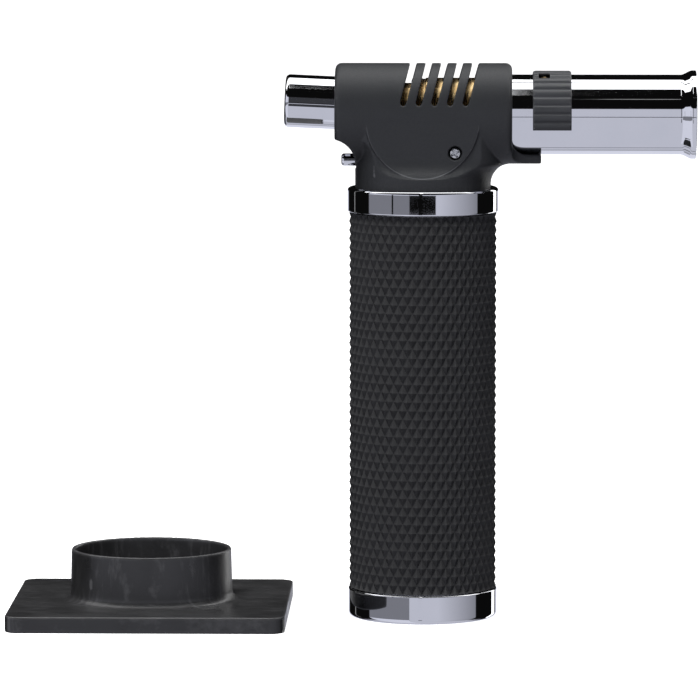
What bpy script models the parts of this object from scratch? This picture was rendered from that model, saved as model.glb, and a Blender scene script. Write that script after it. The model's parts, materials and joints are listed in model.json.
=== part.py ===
"""An upright butane hand torch and its loose square stand.

Metres, +Z up. The torch stands upright with its nozzle towards +X, and the stand is
beside it towards -X. The origin is the middle of the two pieces' footprint.
The right-hand side of the torch is -Y.
"""

import math

import bmesh
import bpy
from mathutils import Matrix

MM = 0.001

# Gap between pieces that touch, and the smaller one between the housing's two halves.
FIT = 0.3 * MM
SEAM = 0.3 * MM
PAST = 2.0 * MM  # how far a cutter runs past the face it leaves through
LOFT_PROUD = 0.05 * MM  # how far the neck stands proud of the sweeps cut in the barrel

# Sides of a full turn on large, middling and small round pieces.
LARGE_SIDES = 40
SIDES = 24
SMALL_SIDES = 14
ROUND_STEPS = 2

# Handle
TANK_RADIUS = 16.6 * MM
TANK_WALL = 1.2 * MM
TANK_FLOOR = 2.0 * MM
TANK_HOLE_CLEARANCE = 0.3 * MM
RING_HEIGHT = 7.2 * MM
RING_WALL = 1.85 * MM
RING_LEDGE = 4.7 * MM
RING_LIP = 1.6 * MM
RING_ROUND = 1.3 * MM
GRIP_LENGTH = 94.5 * MM
GRIP_WALL = 1.7 * MM
TANK_STANDS_OUT = 2.0 * MM
COLLAR_HEIGHT = 6.1 * MM
COLLAR_WALL = 1.7 * MM
COLLAR_ROUND = 1.0 * MM
NECK_STEP = 0.4 * MM

# Plug that closes the tank and carries the head
PLUG_DEPTH = 10.0 * MM
PLUG_SLACK = 0.3 * MM
PLUG_FLANGE = 2.0 * MM
PLUG_BOSS_WALL = 3.3 * MM
PLUG_HEAD_CLEARANCE = 0.4 * MM
PLUG_HEAD = 1.5 * MM
PLUG_FLOOR = 2.7 * MM
SEAL_RADIUS = 0.55 * MM
SEAL_GROOVE_DEPTH = 1.3 * MM
SEAL_GROOVE_HALF = 0.9 * MM
SHELF_DROP = 1.4 * MM
SHELF_THICKNESS = 2.0 * MM

# Dip tube
DIP_RADIUS = 1.6 * MM
DIP_BORE = 0.9 * MM
DIP_BOTTOM = 25.0 * MM
DIP_SEAT = 2.0 * MM
FILTER_RADIUS = 3.0 * MM
FILTER_LENGTH = 8.0 * MM
FILTER_SOCKET = 4.0 * MM

# Refill valve
REFILL_RADIUS = 4.0 * MM
REFILL_FLANGE_RADIUS = 6.0 * MM
REFILL_FLANGE = 1.2 * MM
REFILL_HEIGHT = 13.0 * MM
REFILL_BORE = 1.9 * MM
REFILL_MOUTH = 1.3 * MM
REFILL_OUTLET = 0.8 * MM
REFILL_TOP_WALL = 1.0 * MM
GASKET = 0.6 * MM
NUT_RADIUS = 6.5 * MM
NUT_THICKNESS = 2.5 * MM
STEM_RADIUS = 1.0 * MM
STEM_HEAD_RADIUS = 1.6 * MM
STEM_STANDS_OUT = 0.8 * MM
STEM_HEAD = 4.0 * MM
SPRING_WIRE = 0.2 * MM
SPRING_TURNS = 5
SPRING_POINTS = 8

# Flow valve
VALVE_RADIUS = 5.0 * MM
SPINDLE_RADIUS = 1.7 * MM
SPINDLE_KEY_RADIUS = 2.5 * MM
SPINDLE_TIP = 1.5 * MM
DIAL_OVERHANG = 0.4 * MM  # how far the dial reaches past the valve body under it
DIAL_RADIUS = VALVE_RADIUS + DIAL_OVERHANG
DIAL_HEIGHT = 3.5 * MM
LEVER_RISE = 1.8 * MM
LEVER_RADIUS = 1.585 * MM
LEVER_PROUD = 3.5 * MM
LEVER_STEP = 9.0 * MM
LEVER_SHANK = 1.0 * MM
LEVER_ROUND = 0.7 * MM
LEVER_SWEEP = 50.0  # degrees, towards the left-hand side of the torch
LEVER_SLOT_MARGIN = 9.0  # degrees past each end of the sweep
LEVER_SLOT_CLEARANCE = 0.4 * MM
BRACKET = 1.0 * MM
BRACKET_INSET = 1.4 * MM
BRACKET_MARGIN = 1.2 * MM
BRACKET_ARM_HALF = 2.5 * MM

# Housing: a barrel on the nozzle's axis, a neck down to the collar and a foot
NOZZLE_RISE = 10.0 * MM  # from the bottom of the neck to the nozzle's underside
BARREL_STEP = 2.9 * MM
REAR_OVERHANG = 5.0 * MM
FRONT_OVERHANG = 5.3 * MM
BARREL_ROUND = 1.6 * MM
HOUSING_WALL = 1.8 * MM
REAR_WALL = 2.0 * MM
SIDE_INSET = 0.1 * MM
SIDE_BOTTOM_DROP = 9.6 * MM
SIDE_SWEEP = 6.0 * MM
REAR_SWEEP = 6.0 * MM
REAR_SWEEP_DROP = 11.7 * MM
NECK_WALL = 1.9 * MM
HEAD_WALL = 2.0 * MM
HEAD_CAVITY_DROP = 5.0 * MM
NECK_LEVELS = 12
NECK_ARC_STEPS = 8
NECK_FLAT_STEPS = 3
NECK_TOP_DROP = 1.4 * MM
NEARLY_ROUND = 86.0  # degrees: where the neck's round part gives way to its side
FOOT_LENGTH = 7.3 * MM
FOOT_THICKNESS = 1.8 * MM
FOOT_CRADLE = 0.4 * MM
FOOT_FILLET = 4.0 * MM
FOOT_HALF_WIDTH = 4.7 * MM
VENT_COUNT = 5
VENT_FIRST = -4.84 * MM
VENT_PITCH = 3.89 * MM
VENT_WIDTH = 1.5 * MM
VENT_RISE = 2.7 * MM
VENT_LEAN = 14.4  # degrees from upright, towards the nozzle
SCREW_X = 8.1 * MM
SCREW_RISE = 4.5 * MM
SCREW_HEAD_RADIUS = 1.38 * MM
SCREW_HEAD = 0.8 * MM
SCREW_RADIUS = 1.0 * MM
SCREW_LENGTH = 4.2 * MM
SCREW_SUNK = 0.2 * MM
COUNTERBORE_CLEARANCE = 0.37 * MM

# Nozzle and burner, measured along the nozzle from the handle's axis
NOZZLE_RADIUS = 10.0 * MM
NOZZLE_WALL = 0.5 * MM
NOZZLE_REACH = 68.3 * MM
BEAD = 1.2 * MM
FLARE = 1.1 * MM
FLARE_LENGTH = 3.9 * MM
FLARE_LIP = 1.9 * MM
BURNER_BACK = -1.6 * MM
BURNER_SHORT = 5.0 * MM
BURNER_WALL = 0.7 * MM
BURNER_PLUG_SLACK = 0.6 * MM
BURNER_PLUG_BACK = -7.5 * MM
BURNER_PLUG_FRONT = 2.0 * MM
BURNER_PLUG_FLANGE = 1.2 * MM
BURNER_SEAL_RADIUS = 0.5 * MM
JET_FRONT = 1.5 * MM
JET_BORE = 0.9 * MM
JET_ORIFICE = 0.3 * MM
JET_TIP = 2.0 * MM
MIXER_INSET = 3.4 * MM
MIXER_WALL = 0.9 * MM
MIXER_BACK = -3.0 * MM
MIXER_HOLE = 1.2 * MM
MIXER_HOLE_X = 6.0 * MM
HOLDER_SET_BACK = 18.3 * MM
HOLDER_THICKNESS = 3.0 * MM
HOLDER_HOLES = 8
HOLDER_HOLE = 1.0 * MM
HOLDER_CENTRE_HOLE = 1.8 * MM
WIRE_RADIUS = 0.6 * MM
INSULATOR_RADIUS = 1.1 * MM
INSULATOR_BORE = 0.7 * MM
INSULATOR_BEHIND = 10.0 * MM
INSULATOR_AHEAD = 5.0 * MM
ELECTRODE_RADIUS = 0.4 * MM
ELECTRODE_AHEAD = 9.0 * MM

# Air collar: a ridged clip round the top of the nozzle
AIR_COLLAR_GAP = 5.1 * MM
AIR_COLLAR_LENGTH = 9.7 * MM
AIR_COLLAR_CLEARANCE = 0.2 * MM
AIR_COLLAR_PROUD = 1.0 * MM
AIR_COLLAR_GROOVE = 0.35 * MM
AIR_COLLAR_SPREAD = 110.0  # degrees each side of the top
RIDGES = 19
RIDGE_FLANKS = (0.0, 0.2, 0.75, 0.95)  # foot, crest, crest and foot of a ridge, in pitches
AIR_NOTCH_IN = 1.5 * MM
AIR_NOTCH_LENGTH = 2.8 * MM
AIR_NOTCH_ANGLE = 22.0  # degrees from the top, towards the right-hand side
AIR_NOTCH_HALF = 1.3 * MM
AIR_HOLE = 1.1 * MM

# Igniter, measured outwards from the housing's rear face along its own axis
IGNITER_TILT = 2.6  # degrees: the button's outer end is the higher one
BUTTON_RADIUS = 6.65 * MM
BUTTON_LENGTH = 12.6 * MM
BUTTON_WALL = 1.0 * MM
BUTTON_END = 1.2 * MM
BUTTON_ROUND = 1.0 * MM
BUTTON_FLANGE = 1.2 * MM
BUTTON_FLANGE_LIP = 0.95 * MM
PIEZO_CLEARANCE = 1.05 * MM
PIEZO_OUT = 5.0 * MM
PIEZO_IN = 11.5 * MM
PIEZO_FLANGE_LIP = 1.15 * MM
PIEZO_FLANGE = 1.2 * MM
PIEZO_WALL = 1.1 * MM
PIEZO_BORE_IN = 7.0 * MM
ELEMENT_WALL = 1.1 * MM
ELEMENT_LENGTH = 3.0 * MM
PIEZO_SPRING_WIRE = 0.35 * MM

# Feed tube
FEED_RADIUS = 0.9 * MM
FEED_SIDE = 4.2 * MM
FEED_KNEE_SIDE = 2.5 * MM
FEED_STRAIGHT = 4.0 * MM
FEED_STEPS = 6

# Stand
STAND_SIZE = 69.6 * MM
STAND_PLATE = 4.1 * MM
STAND_CORNER = 4.0 * MM
STAND_GAP = 14.95 * MM
CUP_CLEARANCE = 0.45 * MM
CUP_WALL = 1.0 * MM
CUP_DRAFT = 0.25 * MM
CUP_RIM = 17.0 * MM
CUP_FLOOR = 2.6 * MM
CUP_FILLET = 1.9 * MM
CUP_ROUND = 0.4 * MM

# Sizes that follow from the ones above
RING_RADIUS = TANK_RADIUS + FIT + RING_WALL
RING_BORE_RADIUS = TANK_RADIUS - RING_LIP
GRIP_BOTTOM = RING_HEIGHT + FIT
GRIP_TOP = GRIP_BOTTOM + GRIP_LENGTH
TANK_BOTTOM = RING_LEDGE + FIT
TANK_TOP = GRIP_TOP + TANK_STANDS_OUT
NECK_RADIUS = TANK_RADIUS + NECK_STEP
COLLAR_BOTTOM = GRIP_TOP + FIT
COLLAR_TOP = COLLAR_BOTTOM + COLLAR_HEIGHT
PLUG_FLANGE_TOP = TANK_TOP + FIT + PLUG_FLANGE
PLUG_BOTTOM = TANK_TOP - PLUG_DEPTH
NECK_BOTTOM = PLUG_FLANGE_TOP + FIT
SHELF_BOTTOM = NECK_BOTTOM + SHELF_DROP
SHELF_TOP = SHELF_BOTTOM + SHELF_THICKNESS
PLUG_TOP = SHELF_TOP + FIT + PLUG_HEAD
BRACKET_BOTTOM = PLUG_TOP + FIT
BRACKET_TOP = BRACKET_BOTTOM + BRACKET
DIAL_BOTTOM = BRACKET_TOP + FIT
LEVER_HEIGHT = DIAL_BOTTOM + LEVER_RISE
NOZZLE_HEIGHT = NECK_BOTTOM + NOZZLE_RISE + NOZZLE_RADIUS
NECK_INNER_RADIUS = NECK_RADIUS - NECK_WALL
HEAD_CAVITY_RADIUS = NECK_RADIUS - HEAD_WALL
LEVER_REACH = NECK_RADIUS + LEVER_PROUD
BARREL_RADIUS = NOZZLE_RADIUS + BARREL_STEP
BARREL_REAR = NECK_RADIUS + REAR_OVERHANG
BARREL_FRONT = NECK_RADIUS + FRONT_OVERHANG
BARREL_CAVITY = BARREL_RADIUS - HOUSING_WALL
SIDE_HALF_WIDTH = BARREL_RADIUS - SIDE_INSET
PLUG_HEAD_RADIUS = SIDE_HALF_WIDTH - HOUSING_WALL - PLUG_HEAD_CLEARANCE
PLUG_BOSS_RADIUS = VALVE_RADIUS + FIT + PLUG_BOSS_WALL
BRACKET_HALF_WIDTH = SIDE_HALF_WIDTH - HOUSING_WALL - BRACKET_INSET
BRACKET_BASE_HALF = VALVE_RADIUS + BRACKET_MARGIN
NOZZLE_BORE = NOZZLE_RADIUS + FIT
NOZZLE_BACK = BARREL_FRONT - HOUSING_WALL - FIT - BEAD
BEAD_RADIUS = BARREL_CAVITY - FIT
FLARE_RADIUS = NOZZLE_RADIUS + FLARE
HOLDER_BACK = NOZZLE_REACH - HOLDER_SET_BACK
BURNER_FRONT = HOLDER_BACK - BURNER_SHORT
BURNER_RADIUS = NOZZLE_RADIUS - NOZZLE_WALL - FIT
BURNER_BORE = BURNER_RADIUS - BURNER_WALL
BURNER_PLUG_RADIUS = BURNER_BORE - BURNER_PLUG_SLACK
MIXER_RADIUS = BURNER_PLUG_RADIUS - MIXER_INSET
JET_RADIUS = MIXER_RADIUS - MIXER_WALL - 2 * FIT
WIRE_OFFSET = (MIXER_RADIUS + BURNER_PLUG_RADIUS) / 2
INSULATOR_BACK = HOLDER_BACK - INSULATOR_BEHIND
INSULATOR_FRONT = HOLDER_BACK + INSULATOR_AHEAD
ELECTRODE_TIP = HOLDER_BACK + ELECTRODE_AHEAD
AIR_COLLAR_BACK = BARREL_FRONT + AIR_COLLAR_GAP
AIR_COLLAR_RADIUS = NOZZLE_RADIUS + AIR_COLLAR_PROUD
AIR_NOTCH_BACK = AIR_COLLAR_BACK + AIR_NOTCH_IN
FOOT_UNDERSIDE = NOZZLE_HEIGHT - NOZZLE_BORE - FOOT_THICKNESS
FOOT_TOP = NOZZLE_HEIGHT - NOZZLE_BORE + FOOT_CRADLE
SCREW_HEIGHT = BRACKET_TOP + SCREW_RISE
BUTTON_FLANGE_RADIUS = BUTTON_RADIUS + BUTTON_FLANGE_LIP
IGNITER_RISE = BARREL_CAVITY - FIT - BUTTON_FLANGE_RADIUS
PIEZO_RADIUS = BUTTON_RADIUS - BUTTON_WALL - PIEZO_CLEARANCE
PLUNGER_RADIUS = PIEZO_RADIUS - PIEZO_WALL - FIT
ELEMENT_RADIUS = PLUNGER_RADIUS - ELEMENT_WALL
CUP_BORE = RING_RADIUS + CUP_CLEARANCE
STAND_X = -(RING_RADIUS + STAND_GAP + STAND_SIZE / 2)
TORCH_X = -(NOZZLE_REACH + STAND_X - STAND_SIZE / 2) / 2

UPRIGHT = (math.radians(90), 0, 0)  # turns a flat outline's XY plane into the torch's XZ plane


# ---------------------------------------------------------------- scene and helpers


def clear_scene():
    for obj in list(bpy.data.objects):
        bpy.data.objects.remove(obj, do_unlink=True)


def new_collection(name):
    collection = bpy.data.collections.new(name)
    bpy.context.scene.collection.children.link(collection)
    return collection


def new_material(name, colour, roughness, metallic=0.0):
    material = bpy.data.materials.new(name)
    material.use_nodes = True
    shader = material.node_tree.nodes["Principled BSDF"]
    shader.inputs["Base Color"].default_value = (*colour, 1.0)
    shader.inputs["Roughness"].default_value = roughness
    shader.inputs["Metallic"].default_value = metallic
    return material


def add_empty(name, location, rotation=(0.0, 0.0, 0.0), parent=None):
    empty = bpy.data.objects.new(name, None)
    empty.location = location
    empty.rotation_euler = rotation
    empty.parent = parent
    PARTS.objects.link(empty)
    return empty


def add_object(name, data, finish, parent, location=(0, 0, 0), rotation=(0, 0, 0)):
    """Links a piece, or a cutter when its finish is None."""
    obj = bpy.data.objects.new(name, data)
    obj.location = location
    obj.rotation_euler = rotation
    obj.parent = parent
    if finish is None:
        CUTTERS.objects.link(obj)
        obj.hide_render = True
        obj.display_type = "WIRE"
    else:
        PARTS.objects.link(obj)
        obj.data.materials.append(finish)
    return obj


def turned(name, profile, finish, parent, sides=SIDES, location=(0, 0, 0), rotation=(0, 0, 0)):
    """A turned piece. Its (radius, height) outline runs down the outer side and up the bore."""
    mesh = bpy.data.meshes.new(name)
    count = len(profile)
    edges = [(index, index + 1) for index in range(count - 1)]
    if profile[0][0] > 0:
        edges.append((count - 1, 0))
    mesh.from_pydata([(radius, 0, height) for radius, height in profile], edges, [])
    obj = add_object(name, mesh, finish, parent, location, rotation)
    screw = obj.modifiers.new("turn", "SCREW")
    screw.axis = "Z"
    screw.steps = sides
    screw.render_steps = sides
    screw.use_merge_vertices = True
    screw.merge_threshold = 0.00001
    screw.use_smooth_shade = True
    return obj


def solid_from_loop(loop):
    """Starts a loop with an edge on the axis at its axis point, so that the Screw leaves it open there."""
    start = next(i for i, (point, after) in enumerate(zip(loop, loop[1:])) if point[0] == 0 and after[0] == 0)
    return loop[start + 1 :] + loop[: start + 1]


def rod(radius, low, high):
    return [(0, high), (radius, high), (radius, low), (0, low)]


def tube(outer, inner, low, high):
    return [(outer, high), (outer, low), (inner, low), (inner, high)]


def arc(across, up, radius, start, end, steps=ROUND_STEPS):
    """Points on an arc about (across, up), from one angle in degrees to another."""
    points = []
    for index in range(steps + 1):
        angle = math.radians(start + (end - start) * index / steps)
        points.append((across + radius * math.cos(angle), up + radius * math.sin(angle)))
    return points


def curve_data(name, dimensions):
    curve = bpy.data.curves.new(name, "CURVE")
    curve.dimensions = dimensions
    return curve


def flat_outline(name, outlines, thickness, finish, parent, location=(0, 0, 0), rotation=(0, 0, 0)):
    """A plate cut to closed outlines, its thickness half each side of its own XY plane."""
    curve = curve_data(name, "2D")
    curve.fill_mode = "BOTH"
    curve.extrude = thickness / 2
    for outline in outlines:
        spline = curve.splines.new("POLY")
        spline.points.add(len(outline) - 1)
        spline.use_cyclic_u = True
        for point, (across, up) in zip(spline.points, outline):
            point.co = (across, up, 0, 1)
    guide = bpy.data.objects.new(name, curve)
    PARTS.objects.link(guide)
    graph = bpy.context.evaluated_depsgraph_get()
    mesh = bpy.data.meshes.new_from_object(guide.evaluated_get(graph))
    bpy.data.objects.remove(guide, do_unlink=True)
    bpy.data.curves.remove(curve)
    mesh.materials.clear()
    work = bmesh.new()
    work.from_mesh(mesh)
    bmesh.ops.remove_doubles(work, verts=work.verts, dist=0.01 * MM)
    bmesh.ops.recalc_face_normals(work, faces=work.faces)
    work.to_mesh(mesh)
    work.free()
    mesh.name = name
    return add_object(name, mesh, finish, parent, location, rotation)


def box(name, low, high, finish, parent):
    """A block between two corners."""
    size = [top - bottom for bottom, top in zip(low, high)]
    middle = [(top + bottom) / 2 for bottom, top in zip(low, high)]
    mesh = bpy.data.meshes.new(name)
    work = bmesh.new()
    bmesh.ops.create_cube(work, size=1.0, matrix=Matrix.Translation(middle) @ Matrix.Diagonal((*size, 1)))
    work.to_mesh(mesh)
    work.free()
    return add_object(name, mesh, finish, parent)


def wire(name, points, radius, finish, parent, resolution=2):
    """A round wire or thin tube along a line of points, with closed ends."""
    curve = curve_data(name, "3D")
    curve.bevel_depth = radius
    curve.bevel_resolution = resolution
    curve.use_fill_caps = True
    spline = curve.splines.new("POLY")
    spline.points.add(len(points) - 1)
    for target, point in zip(spline.points, points):
        target.co = (*point, 1)
    return add_object(name, curve, finish, parent)


def smooth_path(points, steps):
    """Points on one smooth curve through the given ones (Catmull-Rom)."""
    ends = [points[0], *points, points[-1]]
    path = []
    for before, start, end, after in zip(ends, ends[1:], ends[2:], ends[3:]):
        for index in range(steps):
            t = index / steps
            shares = (-t + 2 * t**2 - t**3, 2 - 5 * t**2 + 3 * t**3, t + 4 * t**2 - 3 * t**3, t**3 - t**2)
            corners = zip(before, start, end, after)
            path.append(tuple(sum(share * value for share, value in zip(shares, four)) / 2 for four in corners))
    path.append(tuple(points[-1]))
    return path


def coil(radius, low, high, turns=SPRING_TURNS, points=SPRING_POINTS):
    """Points of a coil spring that climbs from one height to another."""
    count = turns * points
    path = []
    for index in range(count + 1):
        angle = 2 * math.pi * index / points
        height = low + (high - low) * index / count
        path.append((radius * math.cos(angle), radius * math.sin(angle), height))
    return path


def cut(piece, tool, operation="DIFFERENCE"):
    modifier = piece.modifiers.new(tool.name, "BOOLEAN")
    modifier.operation = operation
    modifier.solver = "EXACT"
    modifier.object = tool


# ---------------------------------------------------------------- handle


def build_handle():
    lower_bore = TANK_RADIUS + FIT
    round_start = RING_RADIUS - RING_ROUND
    ring = [(RING_RADIUS, RING_HEIGHT)]
    ring += arc(round_start, RING_ROUND, RING_ROUND, 0, -90)
    ring += [(RING_BORE_RADIUS, 0), (RING_BORE_RADIUS, RING_LEDGE), (lower_bore, RING_LEDGE)]
    ring += [(lower_bore, RING_HEIGHT)]
    turned("bottom_ring", ring, CHROME, HANDLE_AXIS, LARGE_SIDES)

    grip_radius = lower_bore + GRIP_WALL
    turned("grip_sleeve", tube(grip_radius, lower_bore, GRIP_BOTTOM, GRIP_TOP), RUBBER, HANDLE_AXIS, LARGE_SIDES)

    collar_bore = NECK_RADIUS + FIT
    collar_radius = collar_bore + COLLAR_WALL
    collar = arc(collar_radius - COLLAR_ROUND, COLLAR_TOP - COLLAR_ROUND, COLLAR_ROUND, 90, 0)
    collar += [(collar_radius, COLLAR_BOTTOM), (collar_bore, COLLAR_BOTTOM), (collar_bore, COLLAR_TOP)]
    turned("top_collar", collar, CHROME, HANDLE_AXIS, LARGE_SIDES)

    hole = REFILL_RADIUS + TANK_HOLE_CLEARANCE
    inner = TANK_RADIUS - TANK_WALL
    tank = [(TANK_RADIUS, TANK_TOP), (TANK_RADIUS, TANK_BOTTOM), (hole, TANK_BOTTOM)]
    tank += [(hole, TANK_BOTTOM + TANK_FLOOR), (inner, TANK_BOTTOM + TANK_FLOOR), (inner, TANK_TOP)]
    turned("fuel_tank", tank, ALUMINIUM, HANDLE_AXIS, LARGE_SIDES)


def build_plug():
    bore = VALVE_RADIUS + FIT
    radius = TANK_RADIUS - TANK_WALL - PLUG_SLACK
    groove = radius - SEAL_GROOVE_DEPTH
    groove_height = (PLUG_BOTTOM + TANK_TOP) / 2
    dip_bore = DIP_RADIUS + FIT
    profile = [(PLUG_HEAD_RADIUS, PLUG_TOP), (PLUG_HEAD_RADIUS, SHELF_TOP + FIT), (PLUG_BOSS_RADIUS, SHELF_TOP + FIT)]
    profile += [(PLUG_BOSS_RADIUS, PLUG_FLANGE_TOP), (TANK_RADIUS, PLUG_FLANGE_TOP), (TANK_RADIUS, TANK_TOP + FIT)]
    profile += [(radius, TANK_TOP + FIT), (radius, groove_height + SEAL_GROOVE_HALF)]
    profile += [(groove, groove_height + SEAL_GROOVE_HALF), (groove, groove_height - SEAL_GROOVE_HALF)]
    profile += [(radius, groove_height - SEAL_GROOVE_HALF), (radius, PLUG_BOTTOM), (dip_bore, PLUG_BOTTOM)]
    profile += [(dip_bore, PLUG_BOTTOM + PLUG_FLOOR), (bore, PLUG_BOTTOM + PLUG_FLOOR), (bore, PLUG_TOP)]
    turned("tank_plug", profile, NYLON, HANDLE_AXIS)

    seal = arc(groove + FIT + SEAL_RADIUS, groove_height, SEAL_RADIUS, 90, -270, 8)[:-1]
    turned("plug_seal", seal, SEAL_RUBBER, HANDLE_AXIS)

    dip_top = PLUG_BOTTOM + DIP_SEAT
    turned("dip_tube", tube(DIP_RADIUS, DIP_BORE, DIP_BOTTOM, dip_top), NYLON, HANDLE_AXIS, SMALL_SIDES)
    socket = DIP_RADIUS + FIT
    floor = DIP_BOTTOM - FIT
    bottom = floor + FILTER_SOCKET - FILTER_LENGTH
    strainer = [(FILTER_RADIUS, floor + FILTER_SOCKET), (FILTER_RADIUS, bottom), (0, bottom)]
    strainer = [*strainer, (0, floor), (socket, floor), (socket, floor + FILTER_SOCKET)]
    turned("dip_filter", solid_from_loop(strainer), FELT, HANDLE_AXIS, SMALL_SIDES)


def build_refill_valve():
    flange_bottom = TANK_BOTTOM - FIT - GASKET - FIT - REFILL_FLANGE
    flange_top = flange_bottom + REFILL_FLANGE
    top = TANK_BOTTOM + REFILL_HEIGHT
    bore_top = top - REFILL_TOP_WALL
    stem_bottom = flange_bottom - STEM_STANDS_OUT
    stem_step = flange_top + TANK_FLOOR + FIT
    profile = [(REFILL_OUTLET, top), (REFILL_RADIUS, top), (REFILL_RADIUS, flange_top)]
    profile += [(REFILL_FLANGE_RADIUS, flange_top), (REFILL_FLANGE_RADIUS, flange_bottom)]
    profile += [(REFILL_MOUTH, flange_bottom), (REFILL_MOUTH, stem_step - FIT), (REFILL_BORE, stem_step - FIT)]
    profile += [(REFILL_BORE, bore_top), (REFILL_OUTLET, bore_top)]
    turned("refill_valve_body", profile, BRASS, HANDLE_AXIS)

    gasket = tube(REFILL_FLANGE_RADIUS, REFILL_RADIUS + FIT, flange_top + FIT, flange_top + FIT + GASKET)
    turned("refill_gasket", gasket, SEAL_RUBBER, HANDLE_AXIS)

    nut_bottom = TANK_BOTTOM + TANK_FLOOR + FIT
    hexagon = arc(0, 0, NUT_RADIUS, 0, 300, 5)
    hole = arc(0, 0, REFILL_RADIUS + FIT, 0, 345, 23)
    middle = (0, 0, nut_bottom + NUT_THICKNESS / 2)
    flat_outline("refill_nut", [hexagon, hole], NUT_THICKNESS, STEEL, HANDLE_AXIS, middle)

    stem = [(0, stem_step + STEM_HEAD), (STEM_HEAD_RADIUS, stem_step + STEM_HEAD), (STEM_HEAD_RADIUS, stem_step)]
    stem += [(STEM_RADIUS, stem_step), (STEM_RADIUS, stem_bottom), (0, stem_bottom)]
    turned("refill_stem", stem, BRASS, HANDLE_AXIS, SMALL_SIDES)

    spring_low = stem_step + STEM_HEAD + FIT + SPRING_WIRE
    spring_high = bore_top - FIT - SPRING_WIRE
    path = coil(REFILL_BORE - FIT - SPRING_WIRE, spring_low, spring_high)
    wire("refill_spring", path, SPRING_WIRE, STEEL, HANDLE_AXIS, 1)


# ---------------------------------------------------------------- flow valve


def build_flow_valve():
    bottom = PLUG_BOTTOM + PLUG_FLOOR + FIT
    bore = SPINDLE_RADIUS + FIT
    spindle_bottom = PLUG_FLANGE_TOP - TANK_STANDS_OUT
    floor = spindle_bottom - FIT
    body = [(VALVE_RADIUS, BRACKET_TOP), (VALVE_RADIUS, bottom), (DIP_BORE, bottom), (DIP_BORE, floor)]
    body += [(bore, floor), (bore, BRACKET_TOP)]
    turned("valve_body", body, BRASS, HANDLE_AXIS)

    spindle = [(0, DIAL_BOTTOM + DIAL_HEIGHT - FIT), (SPINDLE_KEY_RADIUS, DIAL_BOTTOM + DIAL_HEIGHT - FIT)]
    spindle += [(SPINDLE_KEY_RADIUS, DIAL_BOTTOM), (SPINDLE_RADIUS, DIAL_BOTTOM)]
    spindle += [(SPINDLE_RADIUS, spindle_bottom + SPINDLE_TIP), (0, spindle_bottom)]
    turned("valve_spindle", spindle, STEEL, HANDLE_AXIS, SMALL_SIDES)

    dial_bore = SPINDLE_KEY_RADIUS + FIT
    dial = turned(
        "flow_dial",
        tube(DIAL_RADIUS, dial_bore, DIAL_BOTTOM, DIAL_BOTTOM + DIAL_HEIGHT),
        ACETAL,
        HANDLE_AXIS,
    )
    height = (0, 0, LEVER_HEIGHT)
    rearwards = (0, math.radians(-90), 0)
    hole = rod(LEVER_SHANK + FIT, 0, DIAL_RADIUS + PAST)
    cut(dial, turned("lever_hole", hole, None, HANDLE_AXIS, SMALL_SIDES, height, rearwards))

    lever = [(0, LEVER_REACH)]
    lever += arc(LEVER_RADIUS - LEVER_ROUND, LEVER_REACH - LEVER_ROUND, LEVER_ROUND, 90, 0)
    lever += [(LEVER_RADIUS, LEVER_STEP), (LEVER_SHANK, LEVER_STEP)]
    lever += [(LEVER_SHANK, dial_bore + FIT), (0, dial_bore + FIT)]
    turned("flow_lever", lever, CHROME, HANDLE_AXIS, SMALL_SIDES, height, rearwards)


def build_bracket():
    arm_front = SCREW_X + BRACKET_ARM_HALF
    base_low = (-BRACKET_BASE_HALF, -BRACKET_BASE_HALF, BRACKET_BOTTOM)
    base_high = (arm_front, BRACKET_BASE_HALF, BRACKET_TOP)
    bracket = box("head_bracket", base_low, base_high, STEEL, HANDLE_AXIS)
    arm_back = SCREW_X - BRACKET_ARM_HALF
    wide = BRACKET_HALF_WIDTH
    bar = box("bracket_bar", (arm_back, -wide, BRACKET_BOTTOM), (arm_front, wide, BRACKET_TOP), None, HANDLE_AXIS)
    cut(bracket, bar, "UNION")
    arm_top = SCREW_HEIGHT + BRACKET_ARM_HALF
    for side, name in ((-1, "bracket_arm_right"), (1, "bracket_arm_left")):
        near, far = sorted((side * wide, side * (wide - BRACKET)))
        arm = box(name, (arm_back, near, BRACKET_BOTTOM), (arm_front, far, arm_top), None, HANDLE_AXIS)
        cut(bracket, arm, "UNION")
    collar = rod(VALVE_RADIUS + FIT, BRACKET_BOTTOM - PAST, BRACKET_TOP + PAST)
    cut(bracket, turned("bracket_hole", collar, None, HANDLE_AXIS))
    through = rod(SCREW_RADIUS + FIT, -wide - PAST, wide + PAST)
    place = (SCREW_X, 0, SCREW_HEIGHT)
    across = (math.radians(90), 0, 0)
    cut(bracket, turned("bracket_screw_holes", through, None, HANDLE_AXIS, SMALL_SIDES, place, across))


# ---------------------------------------------------------------- housing


def neck_half_width(height):
    """Half the neck's width at a height: round at the collar, sweeping in to the flat sides."""
    drop = min(max(NOZZLE_HEIGHT - SIDE_BOTTOM_DROP - height, 0), SIDE_SWEEP)
    width = SIDE_HALF_WIDTH + SIDE_SWEEP - math.sqrt(SIDE_SWEEP**2 - drop**2)
    return min(width, NECK_RADIUS * math.sin(math.radians(NEARLY_ROUND)))


def swept_reach(height, start, radius, limit):
    """How far the neck reaches from the handle's axis where a concave sweep carries it outwards."""
    rise = min(max(height - start, 0), radius)
    return min(NECK_RADIUS + radius - math.sqrt(radius**2 - rise**2), limit)


def rear_reach(height):
    return swept_reach(height, NOZZLE_HEIGHT - REAR_SWEEP_DROP, REAR_SWEEP, BARREL_REAR)


def front_reach(height):
    return swept_reach(height, FOOT_UNDERSIDE - FRONT_OVERHANG, FRONT_OVERHANG, BARREL_FRONT)


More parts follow.
